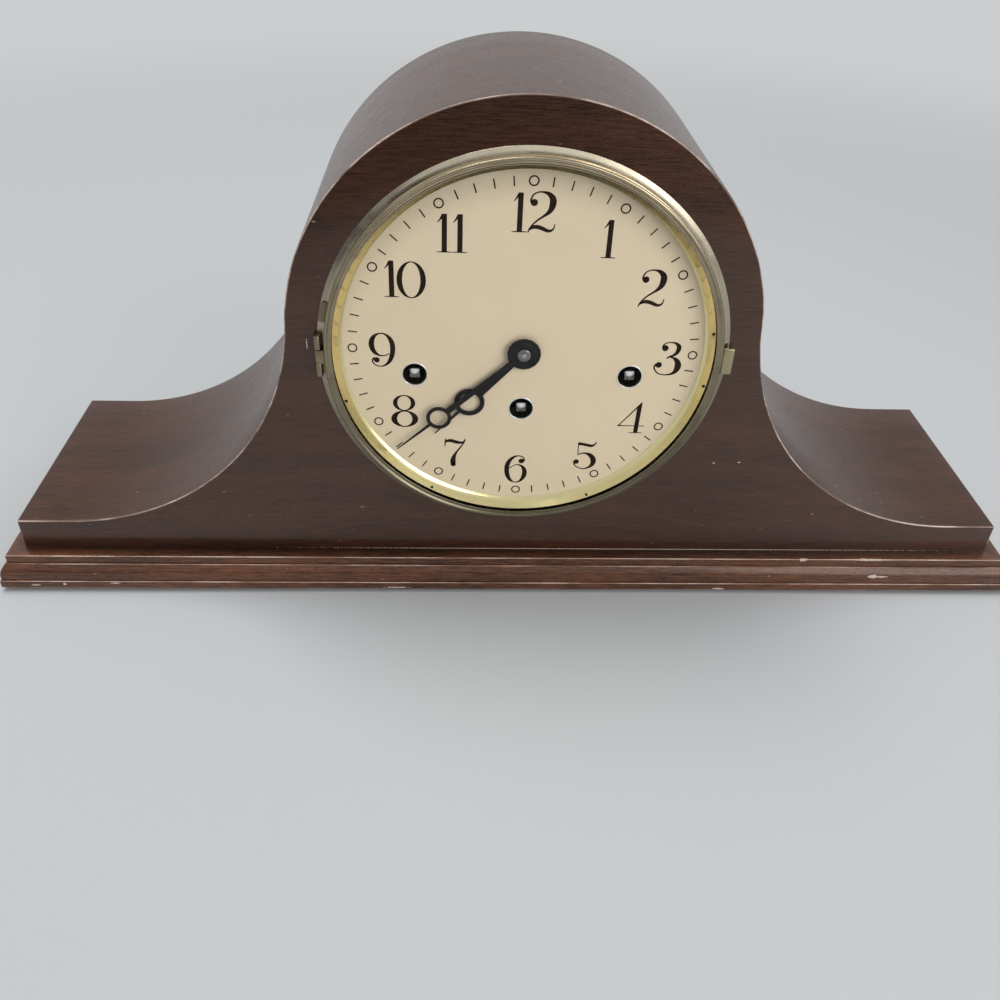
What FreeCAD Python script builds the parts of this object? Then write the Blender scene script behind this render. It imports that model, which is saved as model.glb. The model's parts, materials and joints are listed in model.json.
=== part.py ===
import FreeCAD, Part
import math
import os
import re
import Sketcher
from FreeCAD import Placement, Rotation, Vector

# A hump-backed chiming mantel clock, modelled as the pieces that come apart on a bench.
# Lengths are in millimetres. +Z is up, the dial faces -Y, and the clock stands on its felt pads at Z = 0.
# Places inside the case are given as x from the middle, y back from the face of the case,
# and z up from the top of the base. Places in the movement are measured from the dial's centre.

doc = FreeCAD.newDocument("mantel_clock")

# Driving sizes: name, value, what it is.
SIZES = [
    # case
    ("case_wide", 505, "width of the case over the wing ends"),
    ("case_deep", 119, "depth of the case"),
    ("wing_high", 16.6, "height of the wing ends"),
    ("arch_radius", 107, "radius of the round top"),
    ("arch_high", 119.2, "centre of the round top above the base"),
    ("hollow_radius", 120.9, "radius of the hollow sweep from arch to wing"),
    ("skin_thick", 3.2, "bent plywood roof"),
    ("veneer_thick", 0.8, "face veneer"),
    ("board_thick", 12, "front board"),
    ("back_thick", 8, "back board"),
    ("glue_gap", 0.1, "glue line between the roof and the boards"),
    ("cleat_side", 11, "glue cleat section"),
    ("cleat_long", 60, "glue cleat length"),
    ("cleat_reach", 118, "cleat middle from the clock's middle"),
    # base
    ("base_high", 17.7, "height of the base"),
    ("base_ledge", 7.5, "ledge outside the case walls"),
    ("base_reach", 12, "foot of the moulding outside the case walls"),
    ("base_top_band", 4.5, "upright band under the ledge"),
    ("base_foot_band", 4.5, "upright band at the foot"),
    ("base_step", 0.8, "small step beside each band"),
    ("moulding_wide", 34, "width of the base moulding"),
    ("base_board_thick", 12, "board inside the base moulding"),
    ("pad_radius", 9, "felt pad radius"),
    ("pad_thick", 2, "felt pad thickness"),
    ("pad_inset", 16, "felt pad centre from the foot's edge"),
    # back door
    ("door_half", 84, "half the width of the door opening"),
    ("door_sill", 16, "sill of the door opening above the base"),
    ("door_spring", 112, "height where the door's round head starts"),
    ("door_thick", 5, "back door thickness"),
    ("door_gap", 0.6, "gap round the back door"),
    ("door_lip", 4, "lip that the closed door meets"),
    ("door_seat_gap", 0.3, "closed door to its lip"),
    ("slot_count", 5, "sound slots in the back door"),
    ("slot_wide", 5, "sound slot width"),
    ("slot_long", 46, "sound slot length"),
    ("slot_pitch", 15, "spacing of the sound slots"),
    ("slot_high", 96, "middle of the sound slots above the base"),
    ("knob_radius", 6.5, "door knob radius"),
    ("knob_reach", 10, "door knob length"),
    ("knob_neck", 3, "door knob neck radius"),
    ("knob_inset", 13, "door knob centre from the door's edge"),
    ("hinge_long", 26, "door hinge length"),
    ("hinge_low", 34, "lower hinge middle above the base"),
    ("hinge_rise", 66, "upper hinge above the lower one"),
    ("hinge_leaf_wide", 9, "door hinge leaf width"),
    ("hinge_leaf_thick", 0.9, "door hinge leaf thickness"),
    ("hinge_pin", 1.1, "door hinge pin radius"),
    ("hinge_knuckle", 2.3, "door hinge knuckle radius"),
    ("knuckle_gap", 0.25, "gap between neighbouring knuckles"),
    # dial and bezel
    ("dial_high", 114, "dial centre above the base"),
    ("dial_radius", 82.6, "dial plate radius"),
    ("dial_set_back", 4, "dial face behind the face of the case"),
    ("dial_thick", 0.8, "dial plate thickness"),
    ("pan_radius", 93, "outer edge of the fixed ring"),
    ("pan_thick", 0.8, "sheet of the fixed ring"),
    ("pan_mouth", 86.4, "front edge of the sloping reflector"),
    ("dial_hole", 88, "hole in the front board for the fixed ring"),
    ("bezel_radius", 89.8, "outer wall of the bezel"),
    ("bezel_front", 4.6, "bezel rim in front of the case"),
    ("bezel_inner", 86.4, "inner edge of the bezel"),
    ("bezel_dish", 1.2, "fall of the bezel from rim to inner edge"),
    ("bezel_sheet", 0.7, "sheet of the bezel"),
    ("bezel_gap", 0.35, "closed bezel to the fixed ring"),
    ("glass_thick", 1.5, "glass"),
    ("glass_gap", 0.3, "glass edge to the bezel wall"),
    ("centre_hole", 6, "hole in the middle of the dial"),
    ("winding_hole", 5.6, "winding hole radius"),
    ("bezel_hinge_long", 20, "bezel hinge length"),
    ("bezel_hinge_out", 2.6, "bezel hinge axis outside the bezel wall"),
    ("bezel_hinge_front", 2.7, "bezel hinge axis in front of the case"),
    ("bezel_hinge_pin", 0.7, "bezel hinge pin radius"),
    ("bezel_knuckle", 1.6, "bezel hinge knuckle radius"),
    ("tab_wide", 5, "finger tab reach"),
    ("tab_high", 13, "finger tab height"),
    ("tab_thick", 1.6, "finger tab thickness"),
    ("running_gap", 0.05, "radial clearance of a shaft in its hole"),
    # hands
    ("minute_ring_at", 52, "middle of the minute hand's ring from the hub"),
    ("minute_ring", 6, "minute ring outer radius"),
    ("minute_eye", 4.2, "minute ring inner radius"),
    ("minute_long", 79, "minute hand length"),
    ("minute_root", 2.3, "minute blade width at the hub"),
    ("minute_wide", 3, "minute blade width at the ring"),
    ("minute_front", 0.9, "minute hand's front, back from the case face"),
    ("minute_angle", 228.7, "minute hand, degrees past twelve"),
    ("hour_ring_at", 36, "middle of the hour hand's ring from the hub"),
    ("hour_ring", 7.2, "hour ring outer radius"),
    ("hour_eye", 5, "hour ring inner radius"),
    ("hour_long", 60, "hour hand length"),
    ("hour_root", 3.4, "hour blade width at the hub"),
    ("hour_wide", 4.2, "hour blade width at the ring"),
    ("hour_front", 2.1, "hour hand's front, back from the case face"),
    ("hour_angle", 223.2, "hour hand, degrees past twelve"),
    ("hand_thick", 0.6, "sheet of the hands"),
    ("tip_wide", 1.6, "width of a hand just past its ring"),
    ("tip_point", 0.5, "width of a hand at its point"),
    ("hour_boss", 6.4, "hour hand hub radius"),
    ("minute_boss", 7.6, "minute hand bush radius"),
    ("nut_radius", 3.4, "hand nut radius"),
    ("nut_front", 1.6, "hand nut in front of the minute hand"),
    # movement frame
    ("plate_front", 20, "front plate's front, back from the case face"),
    ("plate_thick", 1.8, "movement plate thickness"),
    ("plates_apart", 36, "space between the plates"),
    ("plate_half", 80, "half the plates' width"),
    ("plate_top", 51, "plates' top above the dial centre"),
    ("plate_drop", 70, "plates' bottom below the dial centre"),
    ("plate_corner", 9, "corner radius of the plates"),
    ("pillar_radius", 4, "pillar radius"),
    ("pillar_inset", 7, "pillar from the plates' edges"),
    ("nut_across", 7, "pillar nut across corners"),
    ("nut_thick", 2.6, "pillar nut thickness"),
    ("foot_out", 10, "fixing lug beyond the plates"),
    ("foot_wide", 12, "fixing lug width"),
    ("foot_thick", 1.5, "fixing lug sheet"),
    ("foot_post", 4, "fixing post radius"),
    ("pivot_radius", 0.9, "small pivots"),
    ("arbor_radius", 1.2, "small arbors"),
    ("centre_radius", 2.2, "centre arbor radius"),
    ("pipe_radius", 3.6, "hour pipe radius"),
    # winding
    ("side_hole_reach", 50, "side winding holes from the middle"),
    ("side_hole_drop", 12.5, "side winding holes below the dial centre"),
    ("lower_hole_drop", 30.3, "lower winding hole below the dial centre"),
    ("square_side", 4.6, "winding square"),
    ("square_start", 5.2, "winding square's end, back from the case face"),
    ("winding_radius", 3.4, "winding arbor radius"),
    ("rear_pivot", 2, "winding arbor's rear pivot radius"),
    ("ratchet_teeth", 16, "ratchet teeth"),
    ("ratchet_radius", 9, "ratchet tip radius"),
    ("ratchet_deep", 1.7, "ratchet tooth depth"),
    ("ratchet_thick", 1.8, "ratchet thickness"),
    ("ratchet_gap", 0.7, "ratchet to the front plate"),
    ("click_reach", 13.5, "click stud from the winding arbor"),
    ("click_clear", 0.35, "click nose to the ratchet's tips at rest"),
    ("click_boss", 2.6, "click boss radius"),
    ("click_stud", 1.4, "click stud radius"),
    # trains
    ("drum_radius", 22.2, "spring barrel radius"),
    ("drum_start", 27.6, "front of the barrels, back from the case face"),
    ("drum_long", 20.4, "barrel length"),
    ("great_teeth", 40, "great wheel teeth"),
    ("great_module", 1.2, "great wheel module"),
    ("great_thick", 2, "great wheel thickness"),
    ("pinion_teeth", 6, "leaves of the small pinions"),
    ("inter_teeth", 36, "intermediate wheel teeth"),
    ("centre_pinion_teeth", 10, "leaves of the centre pinion"),
    ("inter_module", 1.06, "intermediate wheel module"),
    ("centre_teeth", 36, "centre wheel teeth"),
    ("going_module", 1.03, "centre wheel module"),
    ("third_teeth", 36, "third wheel teeth"),
    ("third_module", 0.8, "third wheel module"),
    ("escape_teeth", 15, "escape wheel teeth"),
    ("escape_radius", 8.4, "escape wheel tip radius"),
    ("escape_deep", 2.2, "escape tooth depth"),
    ("second_teeth", 32, "second wheel teeth of the strike and the chime"),
    ("second_module", 1, "second wheel module"),
    ("wheel_thick", 1.2, "train wheel thickness"),
    ("pinion_long", 2.2, "pinion length"),
    ("rim_wide", 3, "rim of a crossed-out wheel"),
    ("arm_wide", 2.2, "arm of a crossed-out wheel"),
    ("third_lean", 47.8, "third arbor, degrees left of upright"),
    ("escape_lean", 15, "escape arbor from the third, degrees right of upright"),
    ("pallet_reach", 12.4, "pallet arbor from the escape arbor"),
    ("pallet_clear", 0.8, "pallet faces to the escape wheel's tips at rest"),
    ("balance_reach", 13, "balance staff from the pallet arbor"),
    ("balance_radius", 10.5, "balance rim radius"),
    ("balance_rim", 1.6, "balance rim width"),
    ("fly_lean", 30, "fly arbor from the second arbor, degrees above level"),
    ("fly_reach", 11, "fly vane half width"),
    ("fly_long", 15, "fly vane length"),
    ("fly_thick", 0.6, "fly vane sheet"),
    # motion work
    ("cannon_teeth", 10, "cannon pinion leaves"),
    ("minute_wheel_teeth", 30, "minute wheel teeth"),
    ("motion_module", 0.9, "cannon pinion and minute wheel module"),
    ("hour_pinion_teeth", 8, "minute wheel pinion leaves"),
    ("hour_teeth", 32, "hour wheel teeth"),
    # chime
    ("drive_teeth", 15, "chime driving wheel teeth"),
    ("drum_wheel_teeth", 30, "pin drum wheel teeth"),
    ("drive_module", 1.05, "pin drum drive module"),
    ("pin_drum_radius", 8.8, "pin drum radius"),
    ("pin_reach", 10.4, "pin tips from the pin drum's axis"),
    ("pin_side", 1.3, "lifting pin thickness"),
    ("hammer_count", 5, "chime hammers"),
    ("hammer_pitch", 7, "spacing of the hammers"),
    ("hammer_first", 69, "first hammer, back from the case face"),
    ("hammer_hub_long", 5, "hammer hub length"),
    ("hammer_hub", 3.4, "hammer hub radius"),
    ("hammer_shaft", 1.6, "hammer shaft radius"),
    ("hammer_x", -36, "hammer shaft from the middle"),
    ("hammer_drop", 62, "hammer shaft below the dial centre"),
    ("hammer_head", 3, "hammer head radius"),
    ("hammer_head_long", 11, "hammer head length"),
    ("head_out", 42, "hammer head beyond the shaft"),
    ("hammer_arm", 3, "hammer arm width"),
    ("hammer_arm_thick", 1.4, "hammer arm sheet"),
    ("tail_gap", 0.5, "hammer tail to the circle of the pins"),
    ("strike_gap", 0.6, "resting hammer to its rod"),
    ("rod_radius", 1.5, "chime rod radius"),
    ("rod_high", 22, "chime rods above the base"),
    ("rod_long", 212, "longest chime rod"),
    ("rod_less", 11, "each next rod is shorter by"),
    ("block_start", 74, "rod block's near face from the middle"),
    ("block_wide", 18, "rod block width"),
    ("block_high", 32, "rod block height"),
    ("block_margin", 6, "rod block beyond the end rods"),
    ("cock_thick", 1.6, "rear cock thickness"),
    ("cock_gap", 1.2, "rear cock to the last hammer"),
    ("cock_post", 3, "rear cock post radius"),
]

# Sizes that follow from the driving ones, as formulas in their names.
DERIVED = {
    "base_top": "pad_thick + base_high",
    "behind": "case_deep + knob_reach",
    "face_y": "-(behind - base_reach) / 2",
    "hollow_x": "sqrt((arch_radius + hollow_radius)^2 - (wing_high + hollow_radius - arch_high)^2)",
    "hollow_rise": "wing_high + hollow_radius - arch_high",
    "arch_sweep": "arch_radius + hollow_radius",
    "inset": "skin_thick + glue_gap",
    "board_back": "veneer_thick + board_thick",
    "back_front": "case_deep - back_thick",
    "foot_half": "case_wide / 2 + base_reach",
    "door_face": "case_deep - door_thick",
    "hinge_y": "case_deep + hinge_knuckle",
    "hinge_x": "door_half - door_gap / 2",
    "bezel_wall_in": "bezel_radius - bezel_sheet",
    "glass_back": "pan_thick + bezel_gap",
    "glass_front": "glass_back + glass_thick",
    "bezel_edge": "bezel_front - bezel_dish",
    "bezel_hinge_x": "bezel_radius + bezel_hinge_out",
    "plate_back": "plate_front + plate_thick",
    "rear_front": "plate_back + plates_apart",
    "rear_back": "rear_front + plate_thick",
    "drum_end": "drum_start + drum_long",
    "great_pitch": "great_module * great_teeth / 2",
    "great_pinion": "great_module * pinion_teeth / 2",
    "inter_pitch": "inter_module * inter_teeth / 2",
    "centre_pinion": "inter_module * centre_pinion_teeth / 2",
    "inter_far": "great_pitch + great_pinion",
    "inter_near": "inter_pitch + centre_pinion",
    "inter_drop": "(inter_near^2 - inter_far^2 + lower_hole_drop^2) / (2 * lower_hole_drop)",
    "inter_x": "sqrt(inter_near^2 - inter_drop^2)",
    "centre_pitch": "going_module * centre_teeth / 2",
    "third_pinion": "going_module * pinion_teeth / 2",
    "third_reach": "centre_pitch + third_pinion",
    "third_x": "-third_reach * sin(third_lean)",
    "third_z": "third_reach * cos(third_lean)",
    "third_pitch": "third_module * third_teeth / 2",
    "escape_pinion": "third_module * pinion_teeth / 2",
    "escape_reach": "third_pitch + escape_pinion",
    "escape_x": "third_x + escape_reach * sin(escape_lean)",
    "escape_z": "third_z + escape_reach * cos(escape_lean)",
    "pallet_x": "escape_x + pallet_reach",
    "balance_x": "pallet_x + balance_reach",
    "second_z": "-side_hole_drop + great_pitch + great_pinion",
    "second_pitch": "second_module * second_teeth / 2",
    "fly_pinion": "second_module * pinion_teeth / 2",
    "fly_x": "side_hole_reach + (second_pitch + fly_pinion) * cos(fly_lean)",
    "fly_z": "second_z + (second_pitch + fly_pinion) * sin(fly_lean)",
    "cannon_pitch": "motion_module * cannon_teeth / 2",
    "minute_wheel_pitch": "motion_module * minute_wheel_teeth / 2",
    "stud_z": "cannon_pitch + minute_wheel_pitch",
    "hour_module": "2 * stud_z / (hour_teeth + hour_pinion_teeth)",
    "drive_pitch": "drive_module * drive_teeth / 2",
    "drum_wheel_pitch": "drive_module * drum_wheel_teeth / 2",
    "pin_drum_z": "second_z - drive_pitch - drum_wheel_pitch",
    "hammer_last": "hammer_first + hammer_pitch * (hammer_count - 1) + hammer_hub_long",
    "cock_front": "hammer_last + cock_gap",
    "rod_drop": "dial_high - rod_high",
    "head_drop": "rod_drop - rod_radius - strike_gap - hammer_head_long / 2",
    "pillar_x": "plate_half - pillar_inset",
    "pillar_up": "plate_top - pillar_inset",
    "pillar_down": "plate_drop - pillar_inset",
}

# Shares of a pitch or a span that shape teeth, blades and small turned forms.
LEAF_ROOT_SHARE = 0.33
ADDENDUM_SHARE = 0.9
DEDENDUM_SHARE = 1.15
RATCHET_BACK_SHARE = 0.86
NUT_SHOULDER_SHARE = 0.45
ESCAPE_BACK_SHARE = 0.55
NECK_SHARE = 0.4
RIM_SHARE = 0.7

# Sides of the round pieces hidden in the movement, by radius: (up to this radius, sides).
HIDDEN_SIDES = [("arbor_radius", 6), ("click_boss", 8), ("knob_radius", 10), ("drum_radius", 24)]

FELT_SIDES = 16
BOSS_SIDES = 16
WINDING_HOLE_SIDES = 12

sheet = doc.addObject("Spreadsheet::Sheet", "sizes")
for row, (alias, value, meaning) in enumerate(SIZES, start=1):
    sheet.set("A%d" % row, alias)
    sheet.set("B%d" % row, str(value))
    sheet.set("C%d" % row, meaning)
    sheet.setAlias("B%d" % row, alias)
doc.recompute()
ALIASES = {alias for alias, value, meaning in SIZES}
WORD = re.compile(r"[A-Za-z_]\w*")


def ex(formula):
    """The formula with each derived name written out and each driving name read from the sheet."""

    def replace(found):
        word = found.group(0)
        if word in DERIVED:
            return "(" + ex(DERIVED[word]) + ")"
        return "sizes." + word if word in ALIASES else word

    return WORD.sub(replace, str(formula))


def num(formula):
    """The value of a formula, in millimetres or degrees."""
    return float(sheet.evalExpression(ex(formula)))


def bind(thing, **formulas):
    """Set properties of a document object by formula."""
    for name, formula in formulas.items():
        thing.setExpression(name.replace("__", "."), ex(formula))


def place(thing, x="0", y="0", z="0", angle=None, axis=(0, 1, 0)):
    """Stand a piece in the clock: x from the middle, y from the case's face, z from the top of the base."""
    turn = 0 if angle is None else num(angle)
    thing.Placement = Placement(Vector(), Rotation(Vector(*axis), turn))
    bind(
        thing,
        __Placement__Base__x=x,
        __Placement__Base__y="face_y + " + y,
        __Placement__Base__z="base_top + " + z,
    )
    return thing


def place_in_movement(thing, x="0", y="0", z="0", **more):
    """Stand a piece by its place from the dial's centre."""
    return place(thing, x, y, "dial_high + " + z, **more)


# Sketches

PLANES = {"front": "XZ_Plane", "plan": "XY_Plane", "side": "YZ_Plane"}


def new_body(name):
    body = doc.addObject("PartDesign::Body", name)
    body.Label = name
    return body


def new_sketch(body, plane, off="0"):
    """A sketch on one of the body's own origin planes, moved along the plane's normal by off."""
    sketch = body.newObject("Sketcher::SketchObject", body.Name + "_sketch")
    role = PLANES[plane]
    support = [feature for feature in body.Origin.OriginFeatures if feature.Role == role][0]
    sketch.AttachmentSupport = [(support, "")]
    sketch.MapMode = "FlatFace"
    sketch.setExpression(".AttachmentOffset.Base.z", ex(off))
    return sketch


def arc_between(start, end, radius, turn):
    """The shorter arc from start to end, bending left (turn 1) or right (turn -1) of the way."""
    middle = (start + end) / 2
    half = (end - start).Length / 2
    along = (end - start).normalize()
    rise = math.sqrt(max(radius * radius - half * half, 0))
    centre = middle + Vector(-along.y, along.x, 0) * rise * turn
    a, b = (start, end) if turn > 0 else (end, start)
    first = math.atan2(a.y - centre.y, a.x - centre.x)
    last = math.atan2(b.y - centre.y, b.x - centre.x)
    return Part.ArcOfCircle(Part.Circle(centre, Vector(0, 0, 1), radius), first, last)


def fix_point(sketch, line, end, x, y):
    """Tie one end of a line to its named place."""
    for kind, axis, formula in (("DistanceX", -2, x), ("DistanceY", -1, y)):
        value = num(formula)
        if formula == "0":
            sketch.addConstraint(Sketcher.Constraint("PointOnObject", line, end, axis))
        else:
            index = sketch.addConstraint(Sketcher.Constraint(kind, -1, 1, line, end, value))
            sketch.setExpression("Constraints[%d]" % index, ex(formula))


def outline(sketch, path):
    """A closed path of named corners: (x, y) for a straight run to it, (x, y, radius, turn) for an arc."""
    corners = [Vector(num(corner[0]), num(corner[1]), 0) for corner in path]
    first = sketch.GeometryCount
    ends = []
    for index, corner in enumerate(path):
        start, end = corners[index - 1], corners[index]
        if len(corner) == 2:
            sketch.addGeometry(Part.LineSegment(start, end), False)
            ends.append((1, 2))
        else:
            radius, turn = corner[2], corner[3]
            line = sketch.addGeometry(arc_between(start, end, num(radius), turn), False)
            ends.append((1, 2) if turn > 0 else (2, 1))
            bend = sketch.addConstraint(Sketcher.Constraint("Radius", line, num(radius)))
            sketch.setExpression("Constraints[%d]" % bend, ex(radius))
    for index, corner in enumerate(path):
        after = (index + 1) % len(path)
        here = first + index
        sketch.addConstraint(
            Sketcher.Constraint("Coincident", here, ends[index][1], first + after, ends[after][0])
        )
        fix_point(sketch, here, ends[index][1], corner[0], corner[1])


def circle(sketch, x, y, radius):
    """A full circle at a named place."""
    shape = Part.Circle(Vector(num(x), num(y), 0), Vector(0, 0, 1), num(radius))
    line = sketch.addGeometry(shape, False)
    index = sketch.addConstraint(Sketcher.Constraint("Radius", line, num(radius)))
    sketch.setExpression("Constraints[%d]" % index, ex(radius))
    fix_point(sketch, line, 3, x, y)


def flat_hole(sketch, x, y, radius, sides=8):
    """A many-sided hole whose flats stand at the radius, for a hidden pivot."""
    corners = []
    for index in range(sides):
        angle = 360 / sides * index
        corners.append((
            "%s + (%s) / cos(180 / %d) * cos(%s)" % (x, radius, sides, angle),
            "%s + (%s) / cos(180 / %d) * sin(%s)" % (y, radius, sides, angle),
        ))
    outline(sketch, corners)


def box_path(left, right, low, high):
    """The corners of an upright rectangle."""
    return [(left, low), (right, low), (right, high), (left, high)]


# Features

def pad(body, draw, long, plane="front", off="0", back=True):
    """Pad a drawing; a front drawing grows back into the clock when back is true."""
    sketch = new_sketch(body, plane, off)
    draw(sketch)
    feature = body.newObject("PartDesign::Pad", body.Name + "_pad")
    feature.Profile = sketch
    feature.Reversed = back
    bind(feature, Length=long)
    sketch.Visibility = False
    return feature


def pocket(body, draw, long, plane="front", off="0", back=True):
    """Cut a drawing into the body; a front drawing cuts back into the clock when back is true."""
    doc.recompute()
    before = body.Shape.Volume
    sketch = new_sketch(body, plane, off)
    draw(sketch)
    feature = body.newObject("PartDesign::Pocket", body.Name + "_pocket")
    feature.Profile = sketch
    feature.Reversed = not back
    bind(feature, Length=long)
    doc.recompute()
    if not body.Shape.Volume < before:
        raise RuntimeError(body.Name + ": the pocket cut nothing")
    return feature


def paths(*drawings):
    """A drawing of closed outlines."""
    return lambda sketch: [outline(sketch, path) for path in drawings]


def plate(name, path, thick, holes=(), pivots=()):
    """A flat piece in the plane of the dial, with round and pivot holes given as (x, y, radius)."""
    body = new_body(name)

    def draw(sketch):
        outline(sketch, path)
        for hole in holes:
            circle(sketch, *hole)
        for hole in pivots:
            flat_hole(sketch, *hole)

    pad(body, draw, thick)
    return body


def turned(name, profile):
    """A piece turned about its own Y axis from a closed profile of (radius, y)."""
    body = new_body(name)
    sketch = new_sketch(body, "plan")
    outline(sketch, profile)
    feature = body.newObject("PartDesign::Revolution", name + "_turn")
    feature.Profile = sketch
    feature.ReferenceAxis = (sketch, ["V_Axis"])
    feature.Angle = 360
    return body


def made(name, shape):
    """A piece whose shape is worked out here from the sheet."""
    feature = doc.addObject("Part::Feature", name)
    feature.Label = name
    feature.Shape = shape
    return feature


# Shapes worked out from the sheet, standing on the Y axis

AXIS = Vector(0, 1, 0)


def sides_for(radius):
    """How many sides a hidden round piece has."""
    for limit, sides in HIDDEN_SIDES:
        if radius <= num(limit):
            return sides
    return HIDDEN_SIDES[-1][1]


def ring_points(radius, sides, x=0, z=0):
    """The corners of a regular polygon, as (x, z)."""
    corners = [polar(radius, 360 / sides * index) for index in range(sides)]
    return [(x + dx, z + dz) for dx, dz in corners]


def rod(radius, start, end, x=0, z=0):
    """A rod along Y whose corners lie on the radius."""
    return polygon_prism(ring_points(radius, sides_for(radius), x, z), start, end - start)


def bore(radius, start, end, x=0, z=0):
    """The waste of a hole along Y whose flats lie on the radius, so a rod of less radius turns in it."""
    sides = sides_for(radius)
    return polygon_prism(ring_points(radius / math.cos(math.pi / sides), sides, x, z), start, end - start)


def turned_to(shape, axis):
    """A shape made along Y, laid along X or stood along Z."""
    laid = shape.copy()
    if axis == "x":
        laid.rotate(Vector(), Vector(0, 0, 1), -90)
    else:
        laid.rotate(Vector(), Vector(1, 0, 0), 90)
    return laid


def upright(radius, low, high, x=0, y=0, hollow=False):
    """A rod, or the waste of a hole, along Z."""
    maker = bore if hollow else rod
    return turned_to(maker(radius, low, high), "z").translated(Vector(x, y, 0))


def block(x, y, z, wide, deep, high):
    """A plain block from its lowest corner."""
    return Part.makeBox(wide, deep, high, Vector(x, y, z))


def polygon_prism(points, start, thick):
    """A prism along Y on a polygon of (x, z) points."""
    wire = Part.makePolygon([Vector(x, start, z) for x, z in points + points[:1]])
    return Part.Face(wire).extrude(AXIS * thick)


def polar(radius, angle):
    """The point at a radius and at an angle in degrees, from the right, turning up."""
    return radius * math.cos(math.radians(angle)), radius * math.sin(math.radians(angle))


def toothed(teeth, module, start, thick, phase=0):
    """A wheel: teeth rise straight from the root circle to points on the tip circle."""
    pitch = teeth * module / 2
    step = 360 / teeth
    points = []
    for tooth in range(teeth):
        points.append(polar(pitch + module * ADDENDUM_SHARE, phase + tooth * step))
        points.append(polar(pitch - module * DEDENDUM_SHARE, phase + (tooth + 1 / 2) * step))
    return polygon_prism(points, start, thick)


def pinion(teeth, module, start, long, phase=0):
    """A pinion: narrow leaves with room between them."""
    pitch = teeth * module / 2
    root = pitch - module * DEDENDUM_SHARE
    step = 360 / teeth
    points = []
    for leaf in range(teeth):
        middle = phase + leaf * step
        points.append(polar(root, middle - step * LEAF_ROOT_SHARE))
        points.append(polar(pitch + module * ADDENDUM_SHARE, middle))
        points.append(polar(root, middle + step * LEAF_ROOT_SHARE))
    return polygon_prism(points, start, long)


def slanted(teeth, tip, deep, back_share, start, thick, phase=0):
    """A disc of slanted teeth: a long back rises to each tip and a radial face drops from it."""
    step = 360 / teeth
    points = []
    for tooth in range(teeth):
        middle = phase + tooth * step
        points.append(polar(tip, middle))
        points.append(polar(tip - deep, middle + step * (1 - back_share)))
    return polygon_prism(points, start, thick)


def crossed_out(wheel, outer, inner, arm, start, thick, arms=4):
    """The wheel with windows between its arms."""
    windows = []
    span = 360 / arms
    out_half = math.degrees(math.asin(arm / 2 / outer))
    in_half = math.degrees(math.asin(arm / 2 / inner))
    for index in range(arms):
        low, high = span * index, span * (index + 1)
        corners = [polar(outer, angle) for angle in (low + out_half, (low + high) / 2, high - out_half)]
        corners += [polar(inner, angle) for angle in (high - in_half, low + in_half)]
        windows.append(polygon_prism(corners, start, thick))
    return wheel.cut(windows)


def joined(shapes):
    """Several touching shapes as one solid."""
    whole = shapes[0].fuse(shapes[1:]).removeSplitter()
    return whole.Solids[0] if len(whole.Solids) == 1 else whole


def train_wheel(teeth, module, start, phase, hub):
    """A crossed-out train wheel."""
    thick = num("wheel_thick")
    wheel = toothed(teeth, module, start, thick, phase)
    outer = teeth * module / 2 - module * DEDENDUM_SHARE - num("rim_wide")
    return crossed_out(wheel, outer, hub, num("arm_wide"), start, thick)


def direction(start, end):
    """The angle in degrees from one named place to another."""
    return math.degrees(math.atan2(num(end[1]) - num(start[1]), num(end[0]) - num(start[0])))


def mesh_phase(teeth, angle):
    """The phase that puts a gap of the follower where the driver's tooth points at it."""
    return angle + 180 + 180 / teeth


# Case

def hump(inset, bottom="0"):
    """The case outline, drawn in by inset all round but standing on the same base."""
    arch = "(arch_radius - %s)" % inset
    hollow = "(hollow_radius + %s)" % inset
    end = "case_wide / 2 - %s" % inset
    top = "wing_high - %s" % inset
    join_x = "%s * hollow_x / arch_sweep" % arch
    join_z = "arch_high + %s * hollow_rise / arch_sweep" % arch
    return [
        (end, bottom),
        (end, top),
        ("hollow_x", top),
        (join_x, join_z, hollow, -1),
        ("-(%s)" % join_x, join_z, arch, 1),
        ("-hollow_x", top, hollow, -1),
        ("-(%s)" % end, top),
        ("-(%s)" % end, bottom),
    ]


def flipped(corner):
    """The arc of a mirrored corner bends the other way."""
    return (corner[2], -corner[3]) if len(corner) == 4 else ()


def reversed_run(path):
    """The path drawn the other way round: each arc keeps its place but bends the other way."""
    afters = path[1:] + [()]
    return [corner[:2] + flipped(after) for corner, after in zip(path[::-1], afters[::-1])]


def make_case():
    dial_hole = [("0", "dial_high", "dial_hole")]
    front = plate("front_board", hump("inset"), "board_thick", dial_hole)
    place(front, y="veneer_thick")
    veneer = plate("face_veneer", hump("0"), "veneer_thick", dial_hole)
    place(veneer)
    skin = new_body("hood_skin")
    pad(skin, paths(hump("0") + reversed_run(hump("skin_thick"))), "case_deep - veneer_thick")
    place(skin, y="veneer_thick")
    make_back_board()
    make_end_blocks()
    make_cleats()


def door_path(grow, low="door_sill"):
    """The round-headed door opening, larger by grow on every side."""
    half = "(door_half + %s)" % grow
    return [
        ("-" + half, "%s - (%s)" % (low, grow)),
        (half, "%s - (%s)" % (low, grow)),
        (half, "door_spring"),
        ("0", "door_spring + " + half, half, 1),
        ("-" + half, "door_spring", half, 1),
    ]


def make_back_board():
    back = new_body("back_board")
    pad(back, paths(hump("inset")), "back_thick")
    pocket(back, paths(door_path("-door_lip")), "back_thick")
    seat = "door_thick + door_seat_gap"
    pocket(back, paths(door_path("0")), seat, off="%s - back_thick" % seat)
    place(back, y="back_front")


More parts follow.
